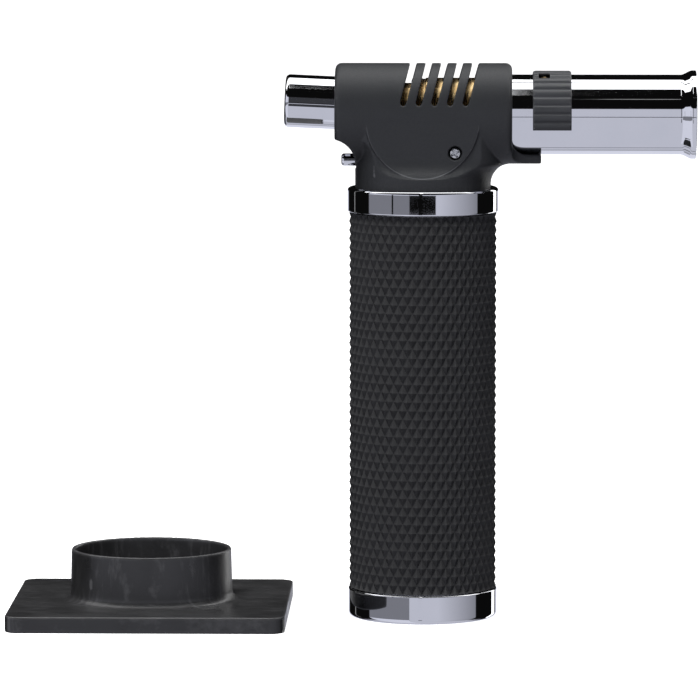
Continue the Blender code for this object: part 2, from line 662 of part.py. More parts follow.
def neck_section(height):
    """One level of the neck: a rounded front and rear joined by two straight sides."""
    half_width = neck_half_width(height)
    crease = math.asin(half_width / NECK_RADIUS)
    inside = BARREL_ROUND + LOFT_PROUD
    front = min(front_reach(height) + LOFT_PROUD, BARREL_FRONT - inside)
    rear = min(rear_reach(height) + LOFT_PROUD, BARREL_REAR - inside)
    points = []
    for sign, reach, other in ((1, front, rear), (-1, rear, front)):
        for index in range(NECK_ARC_STEPS + 1):
            angle = crease * (2 * index / NECK_ARC_STEPS - 1)
            points.append((sign * reach * math.cos(angle), sign * NECK_RADIUS * math.sin(angle), height))
        start = sign * reach * math.cos(crease)
        end = -sign * other * math.cos(crease)
        for index in range(1, NECK_FLAT_STEPS):
            share = index / NECK_FLAT_STEPS
            points.append((start + (end - start) * share, sign * half_width, height))
    return points


def build_neck_loft():
    """The neck as a solid through its levels, from the collar up into the barrel."""
    work = bmesh.new()
    top = NOZZLE_HEIGHT - NECK_TOP_DROP
    rings = []
    for level in range(NECK_LEVELS + 1):
        height = NECK_BOTTOM + (top - NECK_BOTTOM) * level / NECK_LEVELS
        rings.append([work.verts.new(point) for point in neck_section(height)])
    for lower, upper in zip(rings, rings[1:]):
        for index in range(len(lower)):
            after = (index + 1) % len(lower)
            work.faces.new((lower[index], lower[after], upper[after], upper[index]))
    work.faces.new(rings[-1])
    work.faces.new(rings[0][::-1])
    bmesh.ops.recalc_face_normals(work, faces=work.faces)
    bmesh.ops.triangulate(work, faces=work.faces)
    mesh = bpy.data.meshes.new("neck_loft")
    work.to_mesh(mesh)
    work.free()
    return add_object("neck_loft", mesh, None, HANDLE_AXIS)


def sweep_cutters():
    """The two blocks that trim the barrel's underside to the neck's concave sweeps."""
    steps = 8
    wide = 2 * BARREL_RADIUS + 2 * PAST
    rear_start = NOZZLE_HEIGHT - REAR_SWEEP_DROP
    far = BARREL_REAR + PAST
    end_rise = math.sqrt(REAR_SWEEP**2 - (REAR_SWEEP - REAR_OVERHANG) ** 2)
    end_angle = math.degrees(math.asin(end_rise / REAR_SWEEP))
    rear_centre = NECK_RADIUS + REAR_SWEEP
    curve = [(-across, up) for across, up in arc(rear_centre, rear_start, REAR_SWEEP, 180, 180 - end_angle, steps)]
    low = NECK_BOTTOM
    rear = [(-far, low), (-NECK_RADIUS, low), *curve, (-far, rear_start + end_rise)]

    front_start = FOOT_UNDERSIDE - FRONT_OVERHANG
    curve = arc(BARREL_FRONT, front_start, FRONT_OVERHANG, 180, 90, steps)
    front = [(BARREL_FRONT + FOOT_LENGTH, low), (BARREL_FRONT + FOOT_LENGTH, FOOT_UNDERSIDE)]
    front += [*reversed(curve), (NECK_RADIUS, low)]
    return (
        flat_outline("rear_sweep", [rear], wide, None, HANDLE_AXIS, rotation=UPRIGHT),
        flat_outline("front_sweep", [front], wide, None, HANDLE_AXIS, rotation=UPRIGHT),
    )


def build_foot():
    """The tongue under the nozzle, with fillets up and sideways to the barrel's front face."""
    back = BARREL_FRONT - HOUSING_WALL
    end = BARREL_FRONT + FOOT_LENGTH
    top = FOOT_TOP
    fillet = arc(BARREL_FRONT + FOOT_FILLET, top + FOOT_FILLET, FOOT_FILLET, 270, 180, 6)
    outline = [(back, FOOT_UNDERSIDE), (end, FOOT_UNDERSIDE), (end, top), *fillet, (back, top + FOOT_FILLET)]
    foot = flat_outline("foot_block", [outline], 2 * BARREL_RADIUS, None, HANDLE_AXIS, rotation=UPRIGHT)
    cut(foot, turned("foot_round", rod(BARREL_RADIUS, 0, end + PAST), None, NOZZLE_AXIS), "INTERSECT")
    root = FOOT_HALF_WIDTH + FOOT_FILLET
    flare = arc(BARREL_FRONT + FOOT_FILLET, root, FOOT_FILLET, 180, 270, 6)
    plan = [(back, root), *flare, (end + PAST, FOOT_HALF_WIDTH)]
    plan += [(across, -along) for across, along in reversed(plan)]
    tall = 2 * NOZZLE_RADIUS
    middle = (0, 0, FOOT_UNDERSIDE)
    cut(foot, flat_outline("foot_plan", [plan], tall, None, HANDLE_AXIS, middle), "INTERSECT")
    return foot


def vent_outlines():
    lean = math.radians(VENT_LEAN)
    along = (math.sin(lean), math.cos(lean))
    half = VENT_WIDTH / 2
    length = BARREL_RADIUS
    outlines = []
    for number in range(VENT_COUNT):
        across = VENT_FIRST + VENT_PITCH * number
        up = NOZZLE_HEIGHT + VENT_RISE + half
        bottom = arc(across, up, half, 180 - VENT_LEAN, 360 - VENT_LEAN, 6)
        top_right = (bottom[-1][0] + along[0] * length, bottom[-1][1] + along[1] * length)
        top_left = (bottom[0][0] + along[0] * length, bottom[0][1] + along[1] * length)
        outlines.append([*bottom, top_right, top_left])
    return outlines


def housing_cutters():
    """Everything that is hollowed out of the housing's two halves."""
    front_wall = BARREL_FRONT - HOUSING_WALL
    rear_wall = BARREL_REAR - REAR_WALL
    tools = []
    tools.append(turned("barrel_cavity", rod(BARREL_CAVITY, -rear_wall, front_wall), None, NOZZLE_AXIS, LARGE_SIDES))
    bore_end = BARREL_FRONT + FOOT_LENGTH + PAST
    tools.append(turned("nozzle_bore", rod(NOZZLE_BORE, front_wall - PAST, bore_end), None, NOZZLE_AXIS, LARGE_SIDES))
    tools.append(turned("button_bore", rod(BUTTON_RADIUS + FIT, -REAR_WALL - PAST, PAST), None, IGNITER_AXIS))

    boss_room = PLUG_BOSS_RADIUS + FIT
    plug_room = [(0, SHELF_TOP + FIT), (boss_room, SHELF_TOP + FIT), (boss_room, SHELF_BOTTOM)]
    plug_room += [(NECK_INNER_RADIUS, SHELF_BOTTOM), (NECK_INNER_RADIUS, NECK_BOTTOM - PAST), (0, NECK_BOTTOM - PAST)]
    tools.append(turned("plug_room", plug_room, None, HANDLE_AXIS))

    cavity_top = NOZZLE_HEIGHT - HEAD_CAVITY_DROP
    half_width = SIDE_HALF_WIDTH - HOUSING_WALL
    crease = math.degrees(math.asin(half_width / HEAD_CAVITY_RADIUS))
    outline = arc(0, 0, HEAD_CAVITY_RADIUS, -crease, crease, 8)
    outline += arc(0, 0, HEAD_CAVITY_RADIUS, 180 - crease, 180 + crease, 8)
    middle = (0, 0, (SHELF_TOP + cavity_top) / 2)
    tools.append(flat_outline("head_cavity", [outline], cavity_top - SHELF_TOP, None, HANDLE_AXIS, middle))

    first = 180 + LEVER_SLOT_MARGIN
    last = 180 - LEVER_SWEEP - LEVER_SLOT_MARGIN
    sector = arc(0, 0, LEVER_REACH + PAST, last, first, 8) + [(0, 0)]
    height = 2 * (LEVER_RADIUS + LEVER_SLOT_CLEARANCE)
    tools.append(flat_outline("lever_slot", [sector], height, None, HANDLE_AXIS, (0, 0, LEVER_HEIGHT)))

    wide = 2 * BARREL_RADIUS + 2 * PAST
    tools.append(flat_outline("vents", vent_outlines(), wide, None, HANDLE_AXIS, rotation=UPRIGHT))

    floor = SIDE_HALF_WIDTH - SCREW_SUNK - SCREW_HEAD - FIT
    profile = [(0, SIDE_HALF_WIDTH + PAST), (SCREW_HEAD_RADIUS + COUNTERBORE_CLEARANCE, SIDE_HALF_WIDTH + PAST)]
    profile += [(SCREW_HEAD_RADIUS + COUNTERBORE_CLEARANCE, floor), (SCREW_RADIUS + FIT, floor)]
    profile += [(SCREW_RADIUS + FIT, half_width - PAST), (0, half_width - PAST)]
    place = (SCREW_X, 0, SCREW_HEIGHT)
    for side, name in ((1, "screw_well_right"), (-1, "screw_well_left")):
        facing = (math.radians(90 * side), 0, 0)
        tools.append(turned(name, profile, None, HANDLE_AXIS, SMALL_SIDES, place, facing))
    return tools


def build_housing():
    sweeps = sweep_cutters()
    neck = build_neck_loft()
    foot = build_foot()
    tools = housing_cutters()
    inner = BARREL_RADIUS - BARREL_ROUND
    barrel = [(0, BARREL_FRONT)]
    barrel += arc(inner, BARREL_FRONT - BARREL_ROUND, BARREL_ROUND, 90, 0)
    barrel += arc(inner, -BARREL_REAR + BARREL_ROUND, BARREL_ROUND, 0, -90)
    barrel.append((0, -BARREL_REAR))
    reach = BARREL_FRONT + FOOT_LENGTH + PAST
    for side, name in ((-1, "housing_right"), (1, "housing_left")):
        half = turned(name, barrel, GLASS_NYLON, NOZZLE_AXIS, LARGE_SIDES)
        for sweep in sweeps:
            cut(half, sweep)
        cut(half, neck, "UNION")
        cut(half, foot, "UNION")
        near, far = sorted((side * SEAM / 2, side * (NECK_RADIUS + PAST)))
        low = (-reach, near, NECK_BOTTOM - PAST)
        high = (reach, far, NOZZLE_HEIGHT + BARREL_RADIUS + PAST)
        cut(half, box(name + "_side", low, high, None, HANDLE_AXIS), "INTERSECT")
        for tool in tools:
            cut(half, tool)

        top = SIDE_HALF_WIDTH - SCREW_SUNK
        screw = [(0, top), (SCREW_HEAD_RADIUS, top), (SCREW_HEAD_RADIUS, top - SCREW_HEAD)]
        screw += [(SCREW_RADIUS, top - SCREW_HEAD), (SCREW_RADIUS, top - SCREW_HEAD - SCREW_LENGTH)]
        screw.append((0, top - SCREW_HEAD - SCREW_LENGTH))
        place = (SCREW_X, 0, SCREW_HEIGHT)
        facing = (math.radians(-90 * side), 0, 0)
        turned(name.replace("housing", "housing_screw"), screw, ZINC, HANDLE_AXIS, SMALL_SIDES, place, facing)


# ---------------------------------------------------------------- nozzle and burner


def build_nozzle():
    bore = NOZZLE_RADIUS - NOZZLE_WALL
    flare_start = NOZZLE_REACH - FLARE_LENGTH
    lip_start = NOZZLE_REACH - FLARE_LIP
    flare_wall = NOZZLE_WALL + FLARE_RADIUS - NOZZLE_RADIUS
    rim = FLARE_RADIUS - NOZZLE_WALL
    profile = [(FLARE_RADIUS, NOZZLE_REACH), (FLARE_RADIUS, lip_start), (NOZZLE_RADIUS, flare_start)]
    profile += [(NOZZLE_RADIUS, NOZZLE_BACK + BEAD), (BEAD_RADIUS, NOZZLE_BACK + BEAD), (BEAD_RADIUS, NOZZLE_BACK)]
    profile += [(bore, NOZZLE_BACK), (bore, flare_start), (rim, lip_start + flare_wall / 2), (rim, NOZZLE_REACH)]
    nozzle = turned("nozzle_tube", profile, CHROME, NOZZLE_AXIS, LARGE_SIDES)
    air_x = AIR_NOTCH_BACK + AIR_NOTCH_LENGTH / 2
    hole = rod(AIR_HOLE, 0, FLARE_RADIUS + PAST)
    tilt = (math.radians(AIR_NOTCH_ANGLE), 0, 0)
    place = (air_x, 0, NOZZLE_HEIGHT)
    air_hole = turned("air_hole", hole, None, HANDLE_AXIS, SMALL_SIDES, place, tilt)
    cut(nozzle, air_hole)

    burner = turned(
        "burner_tube", tube(BURNER_RADIUS, BURNER_BORE, BURNER_BACK, BURNER_FRONT), BRASS, NOZZLE_AXIS, LARGE_SIDES
    )
    lower_hole = rod(AIR_HOLE, MIXER_RADIUS + FIT, BURNER_RADIUS + PAST)
    cut(burner, turned("burner_air_hole", lower_hole, None, HANDLE_AXIS, SMALL_SIDES, place, tilt))

    jet_bore = JET_RADIUS + FIT
    mixer_socket = MIXER_RADIUS + FIT
    socket_floor = MIXER_BACK - FIT
    flange_front = BURNER_PLUG_BACK + BURNER_PLUG_FLANGE
    plug = [(BURNER_PLUG_RADIUS, BURNER_PLUG_FRONT), (BURNER_PLUG_RADIUS, flange_front)]
    plug += [(BEAD_RADIUS, flange_front), (BEAD_RADIUS, BURNER_PLUG_BACK), (jet_bore, BURNER_PLUG_BACK)]
    plug += [(jet_bore, socket_floor), (mixer_socket, socket_floor), (mixer_socket, BURNER_PLUG_FRONT)]
    burner_plug = turned("burner_plug", plug, BRASS, NOZZLE_AXIS)
    wire_hole = rod(WIRE_RADIUS + FIT, BURNER_PLUG_BACK - PAST, BURNER_PLUG_FRONT + PAST)
    above = (-WIRE_OFFSET, 0, 0)
    cut(burner_plug, turned("wire_hole", wire_hole, None, NOZZLE_AXIS, SMALL_SIDES, above))
    lever_room = LEVER_HEIGHT + LEVER_RADIUS + LEVER_SLOT_CLEARANCE
    low = (BURNER_PLUG_BACK - PAST, -BARREL_RADIUS, lever_room - BARREL_RADIUS)
    high = (BURNER_PLUG_FRONT + PAST, BARREL_RADIUS, lever_room)
    cut(burner_plug, box("plug_flat", low, high, None, HANDLE_AXIS))

    seal_x = BURNER_BACK - FIT - BURNER_SEAL_RADIUS
    seal_radius = BURNER_PLUG_RADIUS + FIT / 2 + BURNER_SEAL_RADIUS
    seal = arc(seal_radius, seal_x, BURNER_SEAL_RADIUS, 90, -270, 8)[:-1]
    turned("burner_seal", seal, SEAL_RUBBER, NOZZLE_AXIS)

    jet = [(JET_ORIFICE, JET_FRONT), (JET_RADIUS / 2, JET_FRONT), (JET_RADIUS, JET_FRONT - JET_TIP)]
    jet += [(JET_RADIUS, BURNER_PLUG_BACK + FIT), (JET_BORE, BURNER_PLUG_BACK + FIT)]
    jet += [(JET_BORE, JET_FRONT - JET_TIP), (JET_ORIFICE, JET_FRONT - JET_TIP)]
    turned("gas_jet", jet, BRASS, NOZZLE_AXIS, SMALL_SIDES)

    mixer_front = HOLDER_BACK - FIT
    mixer_bore = MIXER_RADIUS - MIXER_WALL
    mixer = turned("mixing_tube", tube(MIXER_RADIUS, mixer_bore, MIXER_BACK, mixer_front), STEEL, NOZZLE_AXIS)
    side_hole = rod(MIXER_HOLE, -MIXER_RADIUS - PAST, MIXER_RADIUS + PAST)
    sideways = (math.radians(90), 0, 0)
    cut(mixer, turned("mixer_air_holes", side_hole, None, NOZZLE_AXIS, SMALL_SIDES, (0, 0, MIXER_HOLE_X), sideways))

    holder_front = HOLDER_BACK + HOLDER_THICKNESS
    holes = [arc(0, 0, HOLDER_CENTRE_HOLE, 0, 330, 11)]
    for number in range(HOLDER_HOLES):
        angle = math.pi + 2 * math.pi * number / HOLDER_HOLES
        radius = INSULATOR_RADIUS + FIT if number == 0 else HOLDER_HOLE
        across = WIRE_OFFSET * math.cos(angle)
        up = WIRE_OFFSET * math.sin(angle)
        holes.append(arc(across, up, radius, 0, 324, 9))
    rim = arc(0, 0, BURNER_RADIUS, 0, 360 - 360 / SIDES, SIDES - 1)
    middle = (0, 0, (HOLDER_BACK + holder_front) / 2)
    flat_outline("flame_holder", [rim, *holes], HOLDER_THICKNESS, STEEL, NOZZLE_AXIS, middle)


def build_spark_lead():
    lead = (-WIRE_OFFSET, 0, 0)
    insulator = tube(INSULATOR_RADIUS, INSULATOR_BORE, INSULATOR_BACK, INSULATOR_FRONT)
    turned("electrode_insulator", insulator, CERAMIC, NOZZLE_AXIS, SMALL_SIDES, lead)
    start = INSULATOR_BACK - FIT
    bend = INSULATOR_FRONT + PAST
    path = [(-WIRE_OFFSET, 0, start), (-WIRE_OFFSET, 0, bend), (-WIRE_OFFSET / 2, 0, ELECTRODE_TIP)]
    wire("electrode", path, ELECTRODE_RADIUS, STEEL, NOZZLE_AXIS)
    piezo_front = PIEZO_IN - BARREL_REAR + 2 * FIT
    path = [(-WIRE_OFFSET, 0, piezo_front), (-WIRE_OFFSET, 0, start - FIT)]
    wire("ignition_wire", path, WIRE_RADIUS, WIRE_COVER, NOZZLE_AXIS)


def build_air_collar():
    """A clip with ridges along the nozzle, open below, and a notch over the air hole."""
    inner = NOZZLE_RADIUS + AIR_COLLAR_CLEARANCE
    valley = AIR_COLLAR_RADIUS - AIR_COLLAR_GROOVE
    pitch = 2 * AIR_COLLAR_SPREAD / RIDGES
    outline = []
    for number in range(RIDGES):
        start = -AIR_COLLAR_SPREAD + pitch * number
        for share, radius in zip(RIDGE_FLANKS, (valley, AIR_COLLAR_RADIUS, AIR_COLLAR_RADIUS, valley)):
            angle = math.radians(180 + start + share * pitch)
            outline.append((radius * math.cos(angle), radius * math.sin(angle)))
    outline += arc(0, 0, inner, 180 + AIR_COLLAR_SPREAD, 180 - AIR_COLLAR_SPREAD, 28)
    middle = (0, 0, AIR_COLLAR_BACK + AIR_COLLAR_LENGTH / 2)
    collar = flat_outline("air_collar", [outline], AIR_COLLAR_LENGTH, ACETAL, NOZZLE_AXIS, middle)
    low = (AIR_NOTCH_BACK, -AIR_NOTCH_HALF, inner - PAST)
    high = (AIR_NOTCH_BACK + AIR_NOTCH_LENGTH, AIR_NOTCH_HALF, AIR_COLLAR_RADIUS + PAST)
    notch = box("air_notch", low, high, None, HANDLE_AXIS)
    notch.location = (0, 0, NOZZLE_HEIGHT)
    notch.rotation_euler = (math.radians(AIR_NOTCH_ANGLE), 0, 0)
    cut(collar, notch)


# ---------------------------------------------------------------- igniter and feed tube


def build_igniter():
    inner = BUTTON_RADIUS - BUTTON_WALL
    flange_out = -REAR_WALL - FIT - BUTTON_FLANGE_RADIUS * math.sin(math.radians(IGNITER_TILT))
    flange_in = flange_out - BUTTON_FLANGE
    end_inside = BUTTON_LENGTH - BUTTON_END
    button = [(0, BUTTON_LENGTH)]
    button += arc(BUTTON_RADIUS - BUTTON_ROUND, BUTTON_LENGTH - BUTTON_ROUND, BUTTON_ROUND, 90, 0)
    button += [(BUTTON_RADIUS, flange_out), (BUTTON_FLANGE_RADIUS, flange_out), (BUTTON_FLANGE_RADIUS, flange_in)]
    button += [(inner, flange_in), (inner, end_inside), (0, end_inside)]
    turned("igniter_button", button, CHROME, IGNITER_AXIS, LARGE_SIDES)

    plunger_bore = PLUNGER_RADIUS + FIT
    flange_radius = BUTTON_RADIUS + PIEZO_FLANGE_LIP
    element_bore = ELEMENT_RADIUS + FIT
    element_floor = -PIEZO_BORE_IN - ELEMENT_LENGTH - 2 * FIT
    body = [(PIEZO_RADIUS, PIEZO_OUT), (PIEZO_RADIUS, -PIEZO_IN + PIEZO_FLANGE)]
    body += [(flange_radius, -PIEZO_IN + PIEZO_FLANGE), (flange_radius, -PIEZO_IN), (0, -PIEZO_IN)]
    body += [(0, element_floor), (element_bore, element_floor), (element_bore, -PIEZO_BORE_IN)]
    body += [(plunger_bore, -PIEZO_BORE_IN), (plunger_bore, PIEZO_OUT)]
    turned("piezo_body", solid_from_loop(body), ACETAL, IGNITER_AXIS)

    plunger = rod(PLUNGER_RADIUS, 0, end_inside - FIT)
    turned("piezo_plunger", plunger, NYLON, IGNITER_AXIS, SMALL_SIDES)
    element = rod(ELEMENT_RADIUS, element_floor + FIT, element_floor + FIT + ELEMENT_LENGTH)
    turned("piezo_element", element, CERAMIC, IGNITER_AXIS, SMALL_SIDES)
    seat = FIT + PIEZO_SPRING_WIRE
    path = coil(PLUNGER_RADIUS - PIEZO_SPRING_WIRE, -PIEZO_BORE_IN + seat, -seat)
    wire("piezo_spring", path, PIEZO_SPRING_WIRE, STEEL, IGNITER_AXIS, 1)


def build_feed_tube():
    """The gas tube from the plug's flange, beside the lever's sweep, to the rear of the jet."""
    behind_plug = BURNER_PLUG_BACK - 2 * FIT - FEED_RADIUS
    route = [
        (behind_plug, -FEED_SIDE, PLUG_TOP + FIT),
        (behind_plug, -FEED_SIDE, PLUG_TOP + FEED_STRAIGHT),
        (behind_plug, -FEED_KNEE_SIDE, NOZZLE_HEIGHT - FEED_STRAIGHT),
        (behind_plug, 0, NOZZLE_HEIGHT),
    ]
    wire("feed_tube", smooth_path(route, FEED_STEPS), FEED_RADIUS, COPPER, HANDLE_AXIS)


# ---------------------------------------------------------------- stand


def build_stand():
    half = STAND_SIZE / 2
    inset = half - STAND_CORNER
    outline = []
    for across, up, start in ((inset, inset, 0), (-inset, inset, 90), (-inset, -inset, 180), (inset, -inset, 270)):
        outline += arc(across, up, STAND_CORNER, start, start + 90, 5)
    stand = flat_outline("stand", [outline], STAND_PLATE, STAND_PLASTIC, STAND_CENTRE, (0, 0, STAND_PLATE / 2))
    base = CUP_BORE + CUP_WALL + CUP_DRAFT
    rim = CUP_BORE + CUP_WALL
    sunk = STAND_PLATE / 2
    cup = [(0, CUP_RIM), *arc(rim - CUP_ROUND, CUP_RIM - CUP_ROUND, CUP_ROUND, 90, 0)]
    cup += arc(base + CUP_FILLET, STAND_PLATE + CUP_FILLET, CUP_FILLET, 180, 270, 4)
    cup += [(base + CUP_FILLET, sunk), (0, sunk)]
    cut(stand, turned("cup_wall", cup, None, STAND_CENTRE, LARGE_SIDES), "UNION")
    cut(stand, turned("cup_bore", rod(CUP_BORE, CUP_FLOOR, CUP_RIM + PAST), None, STAND_CENTRE, LARGE_SIDES))


clear_scene()
PARTS = new_collection("butane_torch")
CUTTERS = new_collection("cutters")

CHROME = new_material("chrome_plate", (0.78, 0.78, 0.80), 0.08, 1.0)
RUBBER = new_material("grip_rubber", (0.022, 0.022, 0.023), 0.75)
ALUMINIUM = new_material("drawn_aluminium", (0.60, 0.61, 0.63), 0.35, 1.0)
NYLON = new_material("white_nylon", (0.72, 0.70, 0.64), 0.5)
GLASS_NYLON = new_material("black_glass_nylon", (0.028, 0.029, 0.031), 0.55)
ACETAL = new_material("black_acetal", (0.02, 0.02, 0.021), 0.4)
SEAL_RUBBER = new_material("seal_rubber", (0.015, 0.015, 0.015), 0.6)
FELT = new_material("filter_felt", (0.68, 0.66, 0.60), 0.95)
BRASS = new_material("turned_brass", (0.72, 0.50, 0.20), 0.28, 1.0)
STEEL = new_material("bright_steel", (0.55, 0.55, 0.56), 0.35, 1.0)
ZINC = new_material("zinc_plate", (0.70, 0.71, 0.72), 0.3, 1.0)
COPPER = new_material("drawn_copper", (0.80, 0.42, 0.28), 0.3, 1.0)
CERAMIC = new_material("white_ceramic", (0.82, 0.80, 0.74), 0.3)
WIRE_COVER = new_material("wire_cover", (0.018, 0.018, 0.018), 0.5)
STAND_PLASTIC = new_material("black_styrene", (0.016, 0.016, 0.017), 0.45)

HANDLE_AXIS = add_empty("handle_axis", (TORCH_X, 0, 0))
NOZZLE_AXIS = add_empty("nozzle_axis", (0, 0, NOZZLE_HEIGHT), (0, math.radians(90), 0), HANDLE_AXIS)
IGNITER_AXIS = add_empty(
    "igniter_axis",
    (-BARREL_REAR, 0, NOZZLE_HEIGHT + IGNITER_RISE),
    (0, math.radians(IGNITER_TILT - 90), 0),
    HANDLE_AXIS,
)
STAND_CENTRE = add_empty("stand_centre", (TORCH_X + STAND_X, 0, 0))

build_handle()
build_plug()
build_refill_valve()
build_flow_valve()
build_bracket()
build_housing()
build_nozzle()
build_spark_lead()
build_air_collar()
build_igniter()
build_feed_tube()
build_stand()
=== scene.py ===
"""Looks of the butane hand torch and its loose stand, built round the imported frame."""

import json
import math

import bmesh
import bpy
from mathutils import Matrix, Vector


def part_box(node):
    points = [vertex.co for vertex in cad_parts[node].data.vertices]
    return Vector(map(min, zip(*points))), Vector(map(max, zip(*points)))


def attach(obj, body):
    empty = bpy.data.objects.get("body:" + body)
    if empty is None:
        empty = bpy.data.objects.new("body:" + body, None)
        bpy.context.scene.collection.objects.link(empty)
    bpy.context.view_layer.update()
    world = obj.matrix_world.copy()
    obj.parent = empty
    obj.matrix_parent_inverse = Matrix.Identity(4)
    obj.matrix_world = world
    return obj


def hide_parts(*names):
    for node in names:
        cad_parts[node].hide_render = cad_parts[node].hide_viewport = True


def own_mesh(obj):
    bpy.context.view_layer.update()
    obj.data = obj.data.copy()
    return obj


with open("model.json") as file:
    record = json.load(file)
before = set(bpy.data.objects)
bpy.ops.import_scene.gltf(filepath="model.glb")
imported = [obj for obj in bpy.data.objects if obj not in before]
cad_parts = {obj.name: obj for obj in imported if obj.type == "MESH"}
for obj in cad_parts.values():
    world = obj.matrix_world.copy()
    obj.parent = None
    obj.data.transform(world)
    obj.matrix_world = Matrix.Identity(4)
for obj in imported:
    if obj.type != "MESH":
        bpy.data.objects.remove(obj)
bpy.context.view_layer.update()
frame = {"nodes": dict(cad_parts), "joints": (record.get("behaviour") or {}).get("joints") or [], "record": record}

MM = 0.001
OVERHEAD = 2.4  # how bright the overhead soft box is
HAIR = 0.02 * MM  # how far a finer surface keeps inside the plain one it stands for


# ------------------------------------------------------------ places, read from the frame


def low(node):
    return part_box(node)[0]


def high(node):
    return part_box(node)[1]


def middle(node):
    return (low(node) + high(node)) / 2


TORCH_X = middle("top_collar").x
NOZZLE_Z = middle("nozzle_tube").z
STAND_X = middle("stand").x
HANDLE = Matrix.Translation((TORCH_X, 0, 0))
NOZZLE = Matrix.Translation((TORCH_X, 0, NOZZLE_Z)) @ Matrix.Rotation(math.radians(90), 4, "Y")
STAND = Matrix.Translation((STAND_X, 0, 0))
PRESS = next(joint for joint in frame["joints"] if joint["name"] == "igniter_press")
IGNITER_TILT = -math.atan2(PRESS["axis"][2], PRESS["axis"][0])
BUTTON_CENTRE = middle("igniter_button")
IGNITER = Matrix.Translation(BUTTON_CENTRE) @ Matrix.Rotation(IGNITER_TILT - math.radians(90), 4, "Y")


# ------------------------------------------------------------ camera, floor and light


def srgb(code):
    """Linear colour from a six-digit hex code."""
    parts = [int(code[i : i + 2], 16) / 255 for i in (0, 2, 4)]
    return [c / 12.92 if c <= 0.04045 else ((c + 0.055) / 1.055) ** 2.4 for c in parts]


def set_camera():
    data = bpy.data.cameras.new("camera")
    data.lens = 292.05
    data.sensor_width = 36.0
    data.clip_end = 50.0
    camera = bpy.data.objects.new("camera", data)
    bpy.context.scene.collection.objects.link(camera)
    place = Vector((TORCH_X + 14.2 * MM, -1422.2 * MM, 209.9 * MM))
    aim = Vector((TORCH_X - 18.32 * MM, 0, 67.18 * MM))
    camera.location = place
    camera.rotation_euler = (aim - place).to_track_quat("-Z", "Y").to_euler()
    bpy.context.scene.camera = camera


def add_node(tree, kind, settings=None, **links):
    """Adds a node. Settings name its properties or sockets; links name its input sockets."""
    node = tree.nodes.new(kind)
    for name, value in (settings or {}).items():
        if isinstance(name, int) or name in node.inputs:
            node.inputs[name].default_value = value
        else:
            setattr(node, name, value)
    for name, source in links.items():
        key = int(name[1:]) if name[0] == "i" and name[1:].isdigit() else name.replace("_", " ")
        tree.links.new(source, node.inputs[key])
    return node


def maths(tree, operation, first, second=None, clamp=False):
    """The output of a Math node whose two inputs are sockets or numbers."""
    node = tree.nodes.new("ShaderNodeMath")
    node.operation = operation
    node.use_clamp = clamp
    for socket, value in zip(node.inputs, (first, second)):
        if value is None:
            continue
        if isinstance(value, (int, float)):
            socket.default_value = value
        else:
            tree.links.new(value, socket)
    return node.outputs[0]


def band(tree, angle, start, end, soft=0.6):
    """One between two angles in degrees and nothing outside them, with softened edges."""
    up = maths(tree, "MULTIPLY_ADD", angle, 1 / soft)
    up.node.inputs[2].default_value = 0.5 - start / soft
    up.node.use_clamp = True
    down = maths(tree, "MULTIPLY_ADD", angle, -1 / soft)
    down.node.inputs[2].default_value = 0.5 + end / soft
    down.node.use_clamp = True
    return maths(tree, "MULTIPLY", up, down)


